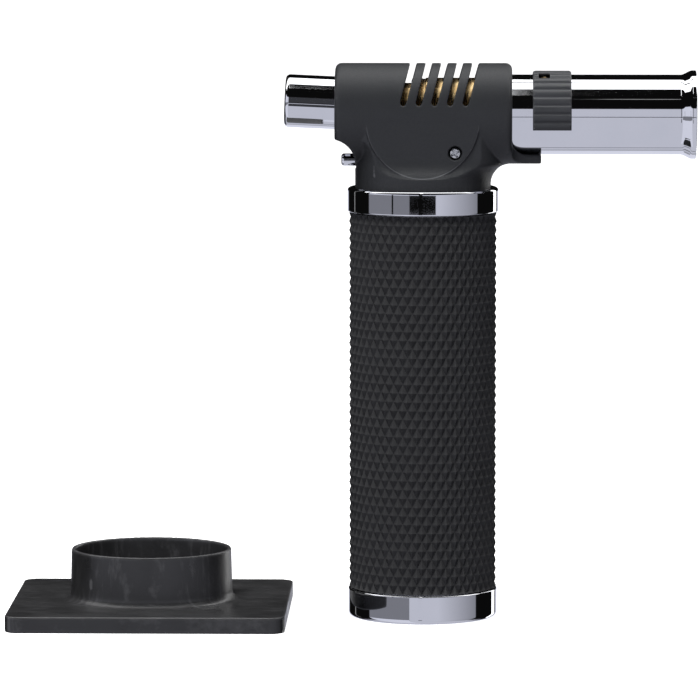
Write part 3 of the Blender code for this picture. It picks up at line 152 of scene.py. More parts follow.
def set_light():
    """A studio of soft boxes: one overhead, a pale table in front, a strip light behind on the right."""
    world = bpy.data.worlds.new("studio")
    bpy.context.scene.world = world
    world.use_nodes = True
    tree = world.node_tree
    tree.nodes.clear()
    way = add_node(tree, "ShaderNodeTexCoord").outputs["Generated"]
    parts = add_node(tree, "ShaderNodeSeparateXYZ", Vector=way).outputs
    front = maths(tree, "MULTIPLY", parts["Y"], -1.0)
    over = maths(tree, "DEGREES", maths(tree, "ARCTAN2", parts["Z"], front))
    turn = maths(tree, "DEGREES", maths(tree, "ARCTAN2", parts["X"], front))
    rise = maths(tree, "DEGREES", maths(tree, "ARCSINE", parts["Z"]))
    side = maths(tree, "ABSOLUTE", parts["X"])
    reach = maths(tree, "LESS_THAN", side, 0.86)

    overhead = maths(tree, "MULTIPLY", band(tree, over, 81.5, 123.0, 1.0), reach)
    beside = band(tree, parts["X"], -0.1, -0.002, 0.003)
    lower = maths(tree, "MULTIPLY", band(tree, over, 60, 83, 1.0), band(tree, parts["X"], -0.05, 0.003, 0.003))
    overhead = maths(tree, "MAXIMUM", overhead, lower)
    joint = maths(tree, "MULTIPLY", band(tree, over, 107, 111, 1.0), spread(tree, parts["X"], 0.0, 0.04, 1.0, 0.3))
    overhead = maths(tree, "MULTIPLY", overhead, maths(tree, "SUBTRACT", 1.0, joint))
    edge = maths(tree, "MULTIPLY", band(tree, over, 47.4, 48.6, 0.4), band(tree, parts["X"], 0.0215, 0.036, 0.004))
    under = maths(tree, "MULTIPLY", band(tree, over, -110.5, -107.5, 0.8), reach)
    under = maths(tree, "MAXIMUM", under, maths(tree, "MULTIPLY", band(tree, over, -125, -120, 0.8), reach))
    strip = maths(tree, "MULTIPLY", band(tree, turn, 138, 150, 1.0), band(tree, rise, -30, 50, 2.0))
    left_strip = maths(tree, "MULTIPLY", band(tree, turn, -128.5, -126.5, 0.6), band(tree, rise, -30, 50, 2.0))

    fade = spread(tree, turn, 25, 92, 1.0, 0.42)
    table_front = maths(tree, "MULTIPLY", band(tree, turn, -20, 92, 1.5), fade)
    level = band(tree, rise, -11.5, -2.0, 1.0)
    table_left = maths(tree, "MULTIPLY", band(tree, turn, -90, -20, 1.5), spread(tree, level, 0, 1, 1.25, 0.36))
    seam = maths(tree, "MULTIPLY", band(tree, turn, -48, -45.5, 0.6), band(tree, rise, -5.2, 10, 0.4))
    patch = maths(tree, "MULTIPLY", band(tree, turn, -20, 20, 1.0), band(tree, rise, -5.05, -3.5, 0.2))
    table = maths(tree, "MAXIMUM", table_front, table_left)
    table = maths(tree, "MULTIPLY", table, maths(tree, "SUBTRACT", 1.0, maths(tree, "MAXIMUM", patch, seam)))
    back = maths(tree, "MULTIPLY", band(tree, maths(tree, "ABSOLUTE", turn), 158, 190, 4.0), band(tree, rise, -60, -1.0, 2.0))
    table = maths(tree, "MAXIMUM", table, maths(tree, "MULTIPLY", back, 1.3))
    table = maths(tree, "MAXIMUM", table, band(tree, rise, -100, -42, 12.0))
    table = maths(tree, "MULTIPLY", table, band(tree, rise, -100, 19.0, 1.0))
    table = maths(tree, "MULTIPLY", table, maths(tree, "SUBTRACT", 1.0, maths(tree, "MULTIPLY", under, 0.6)))
    stand_in = maths(tree, "MULTIPLY", maths(tree, "MULTIPLY", band(tree, over, -20, 20, 1.0), beside), 0.93)
    stand_in = maths(tree, "MULTIPLY", stand_in, maths(tree, "SUBTRACT", 1.0, band(tree, rise, -9.4, -7.2, 0.2)))
    table = maths(tree, "MULTIPLY", table, maths(tree, "SUBTRACT", 1.0, stand_in))

    glow = add_node(tree, "ShaderNodeBackground", {"Color": (*srgb("ffffff"), 1)})
    mirrored = add_node(tree, "ShaderNodeLightPath").outputs["Is Glossy Ray"]
    tree.links.new(maths(tree, "MULTIPLY", overhead, spread(tree, mirrored, 0, 1, 0.75, OVERHEAD)), glow.inputs["Strength"])
    pale = add_node(tree, "ShaderNodeBackground", {"Color": (0.93, 0.945, 1.08, 1)})
    tree.links.new(maths(tree, "MULTIPLY", table, spread(tree, mirrored, 0, 1, 0.12, 0.66)), pale.inputs["Strength"])
    lines = maths(tree, "ADD", maths(tree, "MULTIPLY", edge, 0.5), maths(tree, "MULTIPLY", strip, 2.6))
    lines = maths(tree, "ADD", lines, maths(tree, "MULTIPLY", left_strip, 0.35))
    lines = maths(tree, "ADD", lines, 0.004)
    thin = add_node(tree, "ShaderNodeBackground", {"Color": (*srgb("ffffff"), 1)})
    tree.links.new(lines, thin.inputs["Strength"])
    both = add_node(tree, "ShaderNodeAddShader", i0=glow.outputs[0], i1=pale.outputs[0])
    every = add_node(tree, "ShaderNodeAddShader", i0=both.outputs[0], i1=thin.outputs[0])
    add_node(tree, "ShaderNodeOutputWorld", Surface=every.outputs[0])

    data = bpy.data.lights.new("front_box", "AREA")
    data.shape = "DISK"
    data.size = 0.9
    data.energy = 62.0
    light = bpy.data.objects.new("front_box", data)
    bpy.context.scene.collection.objects.link(light)
    light.location = (-0.25, -0.78, 1.6)
    light.rotation_euler = (Vector((0, 0, 0.07)) - light.location).to_track_quat("-Z", "Y").to_euler()
    light.visible_glossy = False
    bpy.context.scene.view_settings.view_transform = "Standard"


def set_floor():
    """A wide white table top, seen only directly, so that the chrome reflects the studio."""
    work = bmesh.new()
    bmesh.ops.create_grid(work, x_segments=1, y_segments=1, size=12.0)
    mesh = bpy.data.meshes.new("floor")
    work.to_mesh(mesh)
    work.free()
    floor = bpy.data.objects.new("floor", mesh)
    bpy.context.scene.collection.objects.link(floor)
    material = bpy.data.materials.new("white table top")
    material.use_nodes = True
    shader = material.node_tree.nodes["Principled BSDF"]
    shader.inputs["Base Color"].default_value = (0.80, 0.80, 0.80, 1)
    shader.inputs["Roughness"].default_value = 0.9
    shader.inputs["Specular IOR Level"].default_value = 0.0
    shader.inputs["Emission Color"].default_value = (1, 1, 1, 1)
    shader.inputs["Emission Strength"].default_value = 0.85
    mesh.materials.append(material)
    floor.visible_glossy = False
    floor.visible_diffuse = False


# ------------------------------------------------------------ making pieces


def arc(across, up, radius, start, end, steps=8):
    """Points on an arc about (across, up), from one angle in degrees to another."""
    points = []
    for index in range(steps + 1):
        angle = math.radians(start + (end - start) * index / steps)
        points.append((across + radius * math.cos(angle), up + radius * math.sin(angle)))
    return points


def spun(profile, steps=128, place=HANDLE):
    """A turned solid from its closed outline of (radius, height) points."""
    work = bmesh.new()
    verts = [work.verts.new((radius, 0, height)) for radius, height in profile]
    for start, end in zip(verts, verts[1:] + verts[:1]):
        if start.co.x > 0 or end.co.x > 0:
            work.edges.new((start, end))
    bmesh.ops.spin(
        work,
        geom=work.verts[:] + work.edges[:],
        axis=(0, 0, 1),
        cent=(0, 0, 0),
        angle=2 * math.pi,
        steps=steps,
        use_merge=True,
    )
    bmesh.ops.remove_doubles(work, verts=work.verts, dist=0.001 * MM)
    bmesh.ops.recalc_face_normals(work, faces=work.faces)
    bmesh.ops.transform(work, matrix=place, verts=work.verts)
    return work


def plate(outline, thickness, place):
    """A solid from a closed outline in its own XY plane, half its thickness each side."""
    work = bmesh.new()
    face = work.faces.new([work.verts.new((across, up, -thickness / 2)) for across, up in outline])
    grown = bmesh.ops.extrude_face_region(work, geom=[face])["geom"]
    top = [item for item in grown if isinstance(item, bmesh.types.BMVert)]
    bmesh.ops.translate(work, verts=top, vec=(0, 0, thickness))
    bmesh.ops.recalc_face_normals(work, faces=work.faces)
    bmesh.ops.transform(work, matrix=place, verts=work.verts)
    return work


def block(low_corner, high_corner, place):
    """A block between two corners."""
    work = bmesh.new()
    size = [top - bottom for bottom, top in zip(low_corner, high_corner)]
    centre = [(top + bottom) / 2 for bottom, top in zip(low_corner, high_corner)]
    bmesh.ops.create_cube(work, size=1.0, matrix=place @ Matrix.Translation(centre) @ Matrix.Diagonal((*size, 1)))
    return work


def to_object(work, name):
    mesh = bpy.data.meshes.new(name)
    work.to_mesh(mesh)
    work.free()
    piece = bpy.data.objects.new(name, mesh)
    bpy.context.scene.collection.objects.link(piece)
    return piece


def bake(piece):
    """Gives a piece the mesh that its modifiers make, and drops them."""
    graph = bpy.context.evaluated_depsgraph_get()
    made = bpy.data.meshes.new_from_object(piece.evaluated_get(graph))
    old = piece.data
    piece.modifiers.clear()
    piece.data = made
    made.name = piece.name
    bpy.data.meshes.remove(old)
    return piece


def boolean(piece, operation, *tools, keep=False):
    """Joins, cuts or keeps what is common, one tool after another."""
    for tool in tools:
        modifier = piece.modifiers.new("join", "BOOLEAN")
        modifier.operation = operation
        modifier.solver = "EXACT"
        modifier.object = tool
    bake(piece)
    if not keep:
        for tool in tools:
            bpy.data.objects.remove(tool, do_unlink=True)
    return piece


def moulded(piece, voxel, rounds, factor=0.5):
    """Rebuilds a piece as an even fine mesh and relaxes it, which rounds its edges as a mould does."""
    remesh = piece.modifiers.new("even", "REMESH")
    remesh.mode = "VOXEL"
    remesh.voxel_size = voxel
    relax = piece.modifiers.new("relax", "SMOOTH")
    relax.factor = factor
    relax.iterations = rounds
    return bake(piece)


def finish_piece(piece, material, body, slot, *nodes, angle=32):
    """Shades, paints and seats a piece, and hides the plain nodes it stands for."""
    piece.data.shade_smooth()
    if angle:
        piece.data.set_sharp_from_angle(angle=math.radians(angle))
        even = piece.modifiers.new("even shading", "WEIGHTED_NORMAL")
        even.keep_sharp = True
        bake(piece)
    piece.data.materials.clear()
    piece.data.materials.append(material)
    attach(piece, body)
    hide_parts(*nodes)
    return piece


def turned_piece(name, profile, material, body, slot, *nodes, steps=128, place=HANDLE):
    return finish_piece(to_object(spun(profile, steps, place), name), material, body, slot, *nodes)


# ------------------------------------------------------------ finishes


def new_material(name):
    """A material with its shader and a place to read patterns from, and its output linked."""
    material = bpy.data.materials.new(name)
    material.use_nodes = True
    tree = material.node_tree
    shader = tree.nodes["Principled BSDF"]
    where = add_node(tree, "ShaderNodeTexCoord").outputs["Object"]
    return material, tree, shader, where


def noise(tree, where, size, detail=3.0, roughness=0.55):
    """A noise whose lumps are about a given size."""
    node = add_node(tree, "ShaderNodeTexNoise", {"Scale": 1 / size, "Detail": detail, "Roughness": roughness}, Vector=where)
    return node.outputs["Fac"]


def spread(tree, value, from_low, from_high, to_low, to_high):
    settings = {1: from_low, 2: from_high, 3: to_low, 4: to_high}
    return add_node(tree, "ShaderNodeMapRange", settings, Value=value).outputs["Result"]


def blended(tree, factor, first, second):
    """A colour between two hex codes."""
    node = add_node(tree, "ShaderNodeMix", {"data_type": "RGBA"})
    tree.links.new(factor, node.inputs["Factor"])
    node.inputs["A"].default_value = (*first, 1)
    node.inputs["B"].default_value = (*second, 1)
    return node


def colour_mix(tree, factor, first, second):
    """A colour that goes from one hex code or socket to another."""
    node = tree.nodes.new("ShaderNodeMix")
    node.data_type = "RGBA"
    tree.links.new(factor, node.inputs[0])
    for socket, value in ((node.inputs[6], first), (node.inputs[7], second)):
        if isinstance(value, str):
            socket.default_value = (*srgb(value), 1)
        else:
            tree.links.new(value, socket)
    return node.outputs[2]


def bump(tree, shader, height, distance, strength=1.0):
    node = add_node(tree, "ShaderNodeBump", {"Strength": strength, "Distance": distance}, Height=height)
    tree.links.new(node.outputs["Normal"], shader.inputs["Normal"])
    return node


def worn_edges(tree, amount_from=0.52, amount_to=0.62):
    """Near one on outward edges of a fine mesh, and nothing on flat places."""
    point = add_node(tree, "ShaderNodeNewGeometry").outputs["Pointiness"]
    return spread(tree, point, amount_from, amount_to, 0.0, 1.0)


def chrome_plate():
    """Decorative chromium on nickel: mirror bright, a little blue, with faint wiping marks."""
    material, tree, shader, where = new_material("decorative chrome plate")
    smears = noise(tree, where, 9 * MM, 4)
    fine = noise(tree, where, 0.7 * MM, 2)
    shader.inputs["Metallic"].default_value = 1.0
    tint = colour_mix(tree, smears, "dcdee2", "e6e6e9")
    tree.links.new(tint, shader.inputs["Base Color"])
    rough = spread(tree, smears, 0.35, 0.75, 0.02, 0.06)
    tree.links.new(rough, shader.inputs["Roughness"])
    bump(tree, shader, fine, 0.0002 * MM)
    return material


def glass_filled_nylon():
    """Moulded glass-filled nylon with a spark-eroded skin: matt, very dark grey, polished on its edges, where the
    lighter colour is partly wear and partly a painted highlight, and with a painted highlight line along each side
    pad's U-shaped edge.
    """
    material, tree, shader, where = new_material("black glass-filled nylon")
    patches = noise(tree, where, 14 * MM, 3)
    grain = noise(tree, where, 0.35 * MM, 3, 0.6)
    grit = noise(tree, where, 0.16 * MM, 2, 0.5)
    # lighter outward edges: partly edge wear, partly a painted highlight along the convex edges
    edge = worn_edges(tree, 0.60, 0.74)
    parts = add_node(tree, "ShaderNodeSeparateXYZ", Vector=where).outputs
    across = maths(tree, "SUBTRACT", parts["X"], TORCH_X)
    drop = maths(tree, "SUBTRACT", PAD_HEIGHT, parts["Z"])
    reach = maths(tree, "SQRT", maths(tree, "ADD", maths(tree, "MULTIPLY", across, across), maths(tree, "MULTIPLY", drop, drop)))
    # painted highlight: a thin lighter line along the side pads' U-shaped edge, standing in for the light that edge
    # catches
    rim = band(tree, reach, PAD_RADIUS - 0.22 * MM, PAD_RADIUS - 0.02 * MM, 0.12 * MM)
    rim = maths(tree, "MULTIPLY", rim, spread(tree, drop, 0.5 * MM, 3 * MM, 0.0, 0.8))
    edge = maths(tree, "MAXIMUM", edge, rim)
    ground = colour_mix(tree, patches, "1e1f21", "242527")
    specks = colour_mix(tree, spread(tree, grit, 0.62, 0.75, 0.0, 0.4), ground, "38393b")
    # edges and the pad line painted lighter: edge wear and painted highlight
    tree.links.new(colour_mix(tree, edge, specks, "48494c"), shader.inputs["Base Color"])
    rough = maths(tree, "SUBTRACT", spread(tree, grain, 0.3, 0.7, 0.46, 0.60), maths(tree, "MULTIPLY", edge, 0.1))
    tree.links.new(rough, shader.inputs["Roughness"])
    shader.inputs["IOR"].default_value = 1.53
    height = maths(tree, "ADD", grain, maths(tree, "MULTIPLY", grit, 0.5))
    bump(tree, shader, height, 0.012 * MM)
    return material


def grip_rubber():
    """Moulded nitrile rubber: dull black with a soft bloom, polished on the tips that the hand rubs."""
    material, tree, shader, where = new_material("moulded nitrile rubber")
    bloom = noise(tree, where, 11 * MM, 4)
    skin = noise(tree, where, 0.22 * MM, 3)
    edge = worn_edges(tree, 0.52, 0.72)
    ground = colour_mix(tree, bloom, "242425", "2c2c2d")
    tree.links.new(colour_mix(tree, edge, ground, "454546"), shader.inputs["Base Color"])
    rough = maths(tree, "SUBTRACT", spread(tree, bloom, 0.3, 0.7, 0.62, 0.78), maths(tree, "MULTIPLY", edge, 0.14))
    tree.links.new(rough, shader.inputs["Roughness"])
    shader.inputs["IOR"].default_value = 1.5
    bump(tree, shader, skin, 0.01 * MM)
    return material


def acetal():
    """Moulded black acetal: satin, a little waxy, with fine rub marks."""
    material, tree, shader, where = new_material("black acetal")
    cloud = noise(tree, where, 5 * MM, 3)
    skin = noise(tree, where, 0.3 * MM, 3)
    edge = worn_edges(tree, 0.51, 0.6)
    ground = colour_mix(tree, cloud, "2a2b2d", "343538")
    tree.links.new(colour_mix(tree, edge, ground, "5a5b5e"), shader.inputs["Base Color"])
    tree.links.new(spread(tree, cloud, 0.3, 0.7, 0.30, 0.44), shader.inputs["Roughness"])
    shader.inputs["IOR"].default_value = 1.48
    bump(tree, shader, skin, 0.006 * MM)
    return material


def styrene():
    """Moulded high-impact polystyrene: satin black with cloudy handling smudges and fine scuffs."""
    material, tree, shader, where = new_material("black polystyrene")
    cloud = noise(tree, where, 12 * MM, 5, 0.6)
    skin = noise(tree, where, 0.4 * MM, 3)
    stretched = add_node(tree, "ShaderNodeMapping", {"Scale": (1.0, 9.0, 1.0)}, Vector=where).outputs["Vector"]
    scuff = noise(tree, stretched, 7 * MM, 6, 0.7)
    edge = worn_edges(tree, 0.51, 0.62)
    ground = colour_mix(tree, cloud, "1d1d1e", "272728")
    marks = colour_mix(tree, spread(tree, scuff, 0.52, 0.70, 0.0, 0.55), ground, "4a4a4c")
    tree.links.new(colour_mix(tree, edge, marks, "4a4a4c"), shader.inputs["Base Color"])
    rough = spread(tree, cloud, 0.3, 0.7, 0.26, 0.46)
    tree.links.new(rough, shader.inputs["Roughness"])
    shader.inputs["IOR"].default_value = 1.59
    bump(tree, shader, skin, 0.008 * MM)
    return material


def drawn_aluminium():
    """Deep-drawn aluminium: satin, with faint lines along the draw."""
    material, tree, shader, where = new_material("drawn aluminium")
    stretched = add_node(tree, "ShaderNodeMapping", {"Scale": (1.0, 1.0, 0.05)}, Vector=where).outputs["Vector"]
    lines = noise(tree, stretched, 0.4 * MM, 4)
    cloud = noise(tree, where, 9 * MM, 3)
    shader.inputs["Metallic"].default_value = 1.0
    tree.links.new(colour_mix(tree, cloud, "c4c6c9", "d2d3d5"), shader.inputs["Base Color"])
    tree.links.new(spread(tree, lines, 0.3, 0.7, 0.30, 0.44), shader.inputs["Roughness"])
    bump(tree, shader, lines, 0.003 * MM)
    return material


def turned_brass():
    """Turned free-cutting brass, warm and a little dulled, browned by the burner's heat."""
    material, tree, shader, where = new_material("turned brass")
    stretched = add_node(tree, "ShaderNodeMapping", {"Scale": (1.0, 0.06, 0.06)}, Vector=where).outputs["Vector"]
    rings = noise(tree, stretched, 0.25 * MM, 3)
    stain = noise(tree, where, 3 * MM, 4)
    shader.inputs["Metallic"].default_value = 1.0
    tint = colour_mix(tree, spread(tree, stain, 0.35, 0.75, 0.0, 1.0), "e2c795", "a9824c")
    tree.links.new(tint, shader.inputs["Base Color"])
    tree.links.new(spread(tree, rings, 0.3, 0.7, 0.20, 0.34), shader.inputs["Roughness"])
    bump(tree, shader, rings, 0.004 * MM)
    return material


def plain_metal(name, first, second, rough_low, rough_high, lump):
    """Bright metal whose tone and polish drift a little over its surface."""
    material, tree, shader, where = new_material(name)
    cloud = noise(tree, where, lump, 4)
    fine = noise(tree, where, lump / 12, 3)
    shader.inputs["Metallic"].default_value = 1.0
    tree.links.new(colour_mix(tree, cloud, first, second), shader.inputs["Base Color"])
    tree.links.new(spread(tree, fine, 0.3, 0.7, rough_low, rough_high), shader.inputs["Roughness"])
    bump(tree, shader, fine, 0.002 * MM)
    return material


def plain_solid(name, first, second, rough_low, rough_high, lump, ior=1.5):
    """Moulded, fired or pressed stuff whose tone and polish drift a little over its surface."""
    material, tree, shader, where = new_material(name)
    cloud = noise(tree, where, lump, 4)
    fine = noise(tree, where, lump / 10, 3)
    tree.links.new(colour_mix(tree, cloud, first, second), shader.inputs["Base Color"])
    tree.links.new(spread(tree, cloud, 0.3, 0.7, rough_low, rough_high), shader.inputs["Roughness"])
    shader.inputs["IOR"].default_value = ior
    bump(tree, shader, fine, 0.01 * MM)
    return material


# ------------------------------------------------------------ handle


def knurled_sleeve(material):
    """A rubber sleeve with rows of upright diamond points moulded round it."""
    around, tall, depth = 46, 4.36 * MM, 0.8 * MM
    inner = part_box("grip_sleeve")
    radius = (inner[1].x - inner[0].x) / 2 - HAIR
    bottom, top = inner[0].z + HAIR, inner[1].z - HAIR
    bore = radius - 1.65 * MM
    rows = round((top - bottom) / (tall / 2))
    columns = 2 * around
    work = bmesh.new()
    bmesh.ops.create_grid(work, x_segments=columns, y_segments=rows, size=0.5)
    for vert in work.verts:
        column = round((vert.co.x + 0.5) * columns)
        row = round((vert.co.y + 0.5) * rows)
        at = radius if (column + row) % 2 == 0 else radius - depth
        angle = 2 * math.pi * column / columns
        vert.co = (at * math.cos(angle), at * math.sin(angle), bottom + (top - bottom) * row / rows)
    bmesh.ops.remove_doubles(work, verts=work.verts, dist=0.01 * MM)
    bmesh.ops.recalc_face_normals(work, faces=work.faces)
    cells = [face for face in work.faces if len(face.verts) == 4]
    for face in cells:
        grooves = [vert for vert in face.verts if Vector((vert.co.x, vert.co.y)).length < radius - depth / 2]
        bmesh.utils.face_split(face, *grooves)
    bmesh.ops.bevel(
        work,
        geom=work.edges[:],
        offset=0.06 * MM,
        offset_type="OFFSET",
        segments=1,
        profile=0.5,
        affect="EDGES",
        material=-1,
        clamp_overlap=True,
    )
    rims = [edge for edge in work.edges if edge.is_boundary]
    grown = bmesh.ops.extrude_edge_only(work, edges=rims)["geom"]
    for vert in {item for item in grown if isinstance(item, bmesh.types.BMVert)}:
        flat = Vector((vert.co.x, vert.co.y)).normalized() * bore
        vert.co = (flat.x, flat.y, bottom if vert.co.z < (top + bottom) / 2 else top)
    inner_rims = [edge for edge in work.edges if edge.is_boundary]
    bmesh.ops.bridge_loops(work, edges=inner_rims)
    bmesh.ops.recalc_face_normals(work, faces=work.faces)
    bmesh.ops.transform(work, matrix=HANDLE, verts=work.verts)
    piece = to_object(work, "knurled_sleeve")
    finish_piece(piece, material, "torch", "grip_rubber", "grip_sleeve", angle=8)
    return piece


def bottom_ring(material):
    radius = (high("bottom_ring").x - low("bottom_ring").x) / 2 - HAIR
    top = high("bottom_ring").z
    bore, ledge, wall = 15.0 * MM, 4.7 * MM, radius - 1.83 * MM
    profile = [(radius - 0.35 * MM, top), *arc(radius - 0.35 * MM, top - 0.35 * MM, 0.35 * MM, 90, 0, 4)]
    profile += arc(radius - 1.3 * MM, 1.3 * MM, 1.3 * MM, 0, -90, 10)
    profile += arc(bore + 0.4 * MM, 0.4 * MM, 0.4 * MM, -90, -180, 4)
    profile += [(bore, ledge), (wall, ledge), (wall, top)]
    turned_piece("foot_ring", profile, material, "torch", "chrome_plate", "bottom_ring")


def top_collar(material):
    radius = (high("top_collar").x - low("top_collar").x) / 2 - HAIR
    bottom, top = low("top_collar").z, high("top_collar").z
    wall = radius - 1.68 * MM
    rise = 0.9 * MM
    profile = arc(radius - rise, top - rise, rise, 90, 0, 8)
    profile += arc(radius - 0.4 * MM, bottom + 0.4 * MM, 0.4 * MM, 0, -90, 5)
    profile += [(wall, bottom), (wall, top - 0.2 * MM), (wall + 0.2 * MM, top)]
    turned_piece("neck_collar", profile, material, "torch", "chrome_plate", "top_collar")


# ------------------------------------------------------------ head

NECK_RADIUS = 17.0 * MM
BARREL_ROUND = 1.6 * MM
WALL = 1.8 * MM
SIDE_SWEEP = 6.0 * MM
REAR_SWEEP = 6.0 * MM
FRONT_SWEEP = 5.3 * MM
FOOT_FILLET = 4.0 * MM
FOOT_HALF_WIDTH = 4.7 * MM
PAD_RADIUS = 14.1 * MM
PAD_STEP = 0.7 * MM  # how far the side pads stand out of the neck
PAST = 2.0 * MM
UPRIGHT = Matrix.Rotation(math.radians(90), 4, "X")  # stands a flat outline up across the torch

BARREL_RADIUS = high("housing_right").z - NOZZLE_Z
BARREL_REAR = TORCH_X - low("housing_right").x
FOOT_END = high("housing_right").x - TORCH_X
BARREL_FRONT = FOOT_END - 7.3 * MM
NECK_BOTTOM = low("housing_right").z
NOZZLE_BORE = 10.3 * MM
SIDE_WIDTH = BARREL_RADIUS - 0.1 * MM
FOOT_UNDERSIDE = NOZZLE_Z - NOZZLE_BORE - 1.8 * MM
FOOT_TOP = NOZZLE_Z - NOZZLE_BORE + 0.4 * MM
REAR_START = NOZZLE_Z - 11.7 * MM
PAD_HEIGHT = NOZZLE_Z - 1.2 * MM
SCREW_PLACE = Vector((middle("housing_screw_right").x, 0, middle("housing_screw_right").z))
LEVER_Z = middle("flow_lever").z


def neck_width(height):
    """Half the neck's width: round at the collar, sweeping in to the flat sides."""
    drop = min(max(NOZZLE_Z - 9.6 * MM - height, 0), SIDE_SWEEP)
    width = SIDE_WIDTH + SIDE_SWEEP - math.sqrt(SIDE_SWEEP**2 - drop**2)
    return min(width, NECK_RADIUS * math.sin(math.radians(87)))


def swept(height, start, radius, limit):
    rise = min(max(height - start, 0), radius)
    return min(NECK_RADIUS + radius - math.sqrt(radius**2 - rise**2), limit)


def neck_section(height, around=28, along=8):
    """One level of the neck: a round front and rear joined by two straight sides."""
    half_width = neck_width(height) - PAD_STEP * min(max((height - PAD_HEIGHT + PAD_RADIUS) / MM, 0), 1)
    crease = math.asin(half_width / NECK_RADIUS)
    inside = BARREL_ROUND + 0.05 * MM
    front = min(swept(height, FOOT_UNDERSIDE - FRONT_SWEEP, FRONT_SWEEP, BARREL_FRONT) + 0.05 * MM, BARREL_FRONT - inside)
    rear = min(swept(height, REAR_START, REAR_SWEEP, BARREL_REAR) + 0.05 * MM, BARREL_REAR - inside)
    points = []
    for sign, reach, other in ((1, front, rear), (-1, rear, front)):
        for index in range(around + 1):
            angle = crease * (2 * index / around - 1)
            points.append((sign * reach * math.cos(angle), sign * NECK_RADIUS * math.sin(angle), height))
        start = sign * reach * math.cos(crease)
        end = -sign * other * math.cos(crease)
        for index in range(1, along):
            points.append((start + (end - start) * index / along, sign * half_width, height))
    return points


def neck(levels=40):
    """The neck, drawn upwards from its lowest outline one level at a time."""
    work = bmesh.new()
    top = NOZZLE_Z - 1.4 * MM
    face = work.faces.new([work.verts.new(point) for point in neck_section(NECK_BOTTOM)])
    for level in range(1, levels + 1):
        last = face
        grown = bmesh.ops.extrude_face_region(work, geom=[last])["geom"]
        face = next(item for item in grown if isinstance(item, bmesh.types.BMFace))
        if level > 1:
            bmesh.ops.delete(work, geom=[last], context="FACES_ONLY")
        height = NECK_BOTTOM + (top - NECK_BOTTOM) * level / levels
        section = neck_section(height)
        for vert, point in zip([loop.vert for loop in face.loops], section):
            vert.co = point
    bmesh.ops.recalc_face_normals(work, faces=work.faces)
    bmesh.ops.triangulate(work, faces=work.faces)
    bmesh.ops.transform(work, matrix=HANDLE, verts=work.verts)
    return work


def barrel_solid():
    """The barrel with its underside swept away, the neck and the foot, in one solid."""
    inner = BARREL_RADIUS - HAIR - BARREL_ROUND
    profile = [(0, BARREL_FRONT), *arc(inner, BARREL_FRONT - BARREL_ROUND, BARREL_ROUND, 90, 0, 10)]
    profile += [*arc(inner, -BARREL_REAR + BARREL_ROUND, BARREL_ROUND, 0, -90, 10), (0, -BARREL_REAR)]
    solid = to_object(spun(profile, 128, NOZZLE), "housing")

    wide = 2 * BARREL_RADIUS + 2 * PAST
    far = BARREL_REAR + PAST
    end_rise = math.sqrt(REAR_SWEEP**2 - (REAR_SWEEP - BARREL_REAR + NECK_RADIUS) ** 2)
    end_angle = math.degrees(math.asin(end_rise / REAR_SWEEP))
    curve = arc(NECK_RADIUS + REAR_SWEEP, REAR_START, REAR_SWEEP, 180, 180 - end_angle, 20)
    rear = [(-far, NECK_BOTTOM), (-NECK_RADIUS, NECK_BOTTOM), *[(-x, z) for x, z in curve], (-far, REAR_START + end_rise)]
    curve = arc(BARREL_FRONT, FOOT_UNDERSIDE - FRONT_SWEEP, FRONT_SWEEP, 180, 90, 20)
    front = [(FOOT_END, NECK_BOTTOM), (FOOT_END, FOOT_UNDERSIDE), *reversed(curve), (NECK_RADIUS, NECK_BOTTOM)]
    boolean(
        solid,
        "DIFFERENCE",
        to_object(plate(rear, wide, HANDLE @ UPRIGHT), "rear_sweep"),
        to_object(plate(front, wide, HANDLE @ UPRIGHT), "front_sweep"),
    )
    fillet = arc(BARREL_FRONT + FOOT_FILLET, FOOT_TOP + FOOT_FILLET, FOOT_FILLET, 270, 180, 14)
    back = BARREL_FRONT - WALL
    outline = [(back, FOOT_UNDERSIDE), (FOOT_END, FOOT_UNDERSIDE), (FOOT_END, FOOT_TOP), *fillet, (back, FOOT_TOP + FOOT_FILLET)]
    foot = to_object(plate(outline, 2 * BARREL_RADIUS, HANDLE @ UPRIGHT), "foot")
    rod = [(0, FOOT_END + PAST), (BARREL_RADIUS - HAIR, FOOT_END + PAST), (BARREL_RADIUS - HAIR, 0), (0, 0)]
    root = FOOT_HALF_WIDTH + FOOT_FILLET
    flare = arc(BARREL_FRONT + FOOT_FILLET, root, FOOT_FILLET, 180, 270, 14)
    plan = [(back, root), *flare, (FOOT_END + PAST, FOOT_HALF_WIDTH)]
    plan += [(across, -along) for across, along in reversed(plan)]
    foot_round = to_object(spun(rod, 128, NOZZLE), "foot_round")
    foot_plan = to_object(plate(plan, 2 * NOZZLE_BORE, HANDLE @ Matrix.Translation((0, 0, FOOT_UNDERSIDE))), "foot_plan")
    boolean(foot, "INTERSECT", foot_round, foot_plan)
    return boolean(solid, "UNION", to_object(neck(), "neck"), side_pad(), foot)


def side_pad():
    """The raised pad with a U-shaped edge on both sides of the head, flaring out where it meets the collar."""
    steps = 36
    bottom, top = PAD_HEIGHT - PAD_RADIUS - 0.6 * MM, NOZZLE_Z - 0.4 * MM
    heights = [bottom + (top - bottom) * step / steps for step in range(steps + 1)]
    right = [(neck_width(height), height) for height in heights]
    left = [(-across, height) for across, height in reversed(right)]
    turn = HANDLE @ Matrix.Rotation(math.radians(90), 4, "Z") @ UPRIGHT
    pad = to_object(plate(right + left, 2 * PAD_RADIUS + 2 * PAST, turn), "pad")
    edge = arc(0, PAD_HEIGHT, PAD_RADIUS, 180, 360, 72)
    edge += [(PAD_RADIUS, NOZZLE_Z), (-PAD_RADIUS, NOZZLE_Z)]
    return boolean(pad, "INTERSECT", to_object(plate(edge, 2 * NECK_RADIUS + 2 * PAST, HANDLE @ UPRIGHT), "pad_edge"))


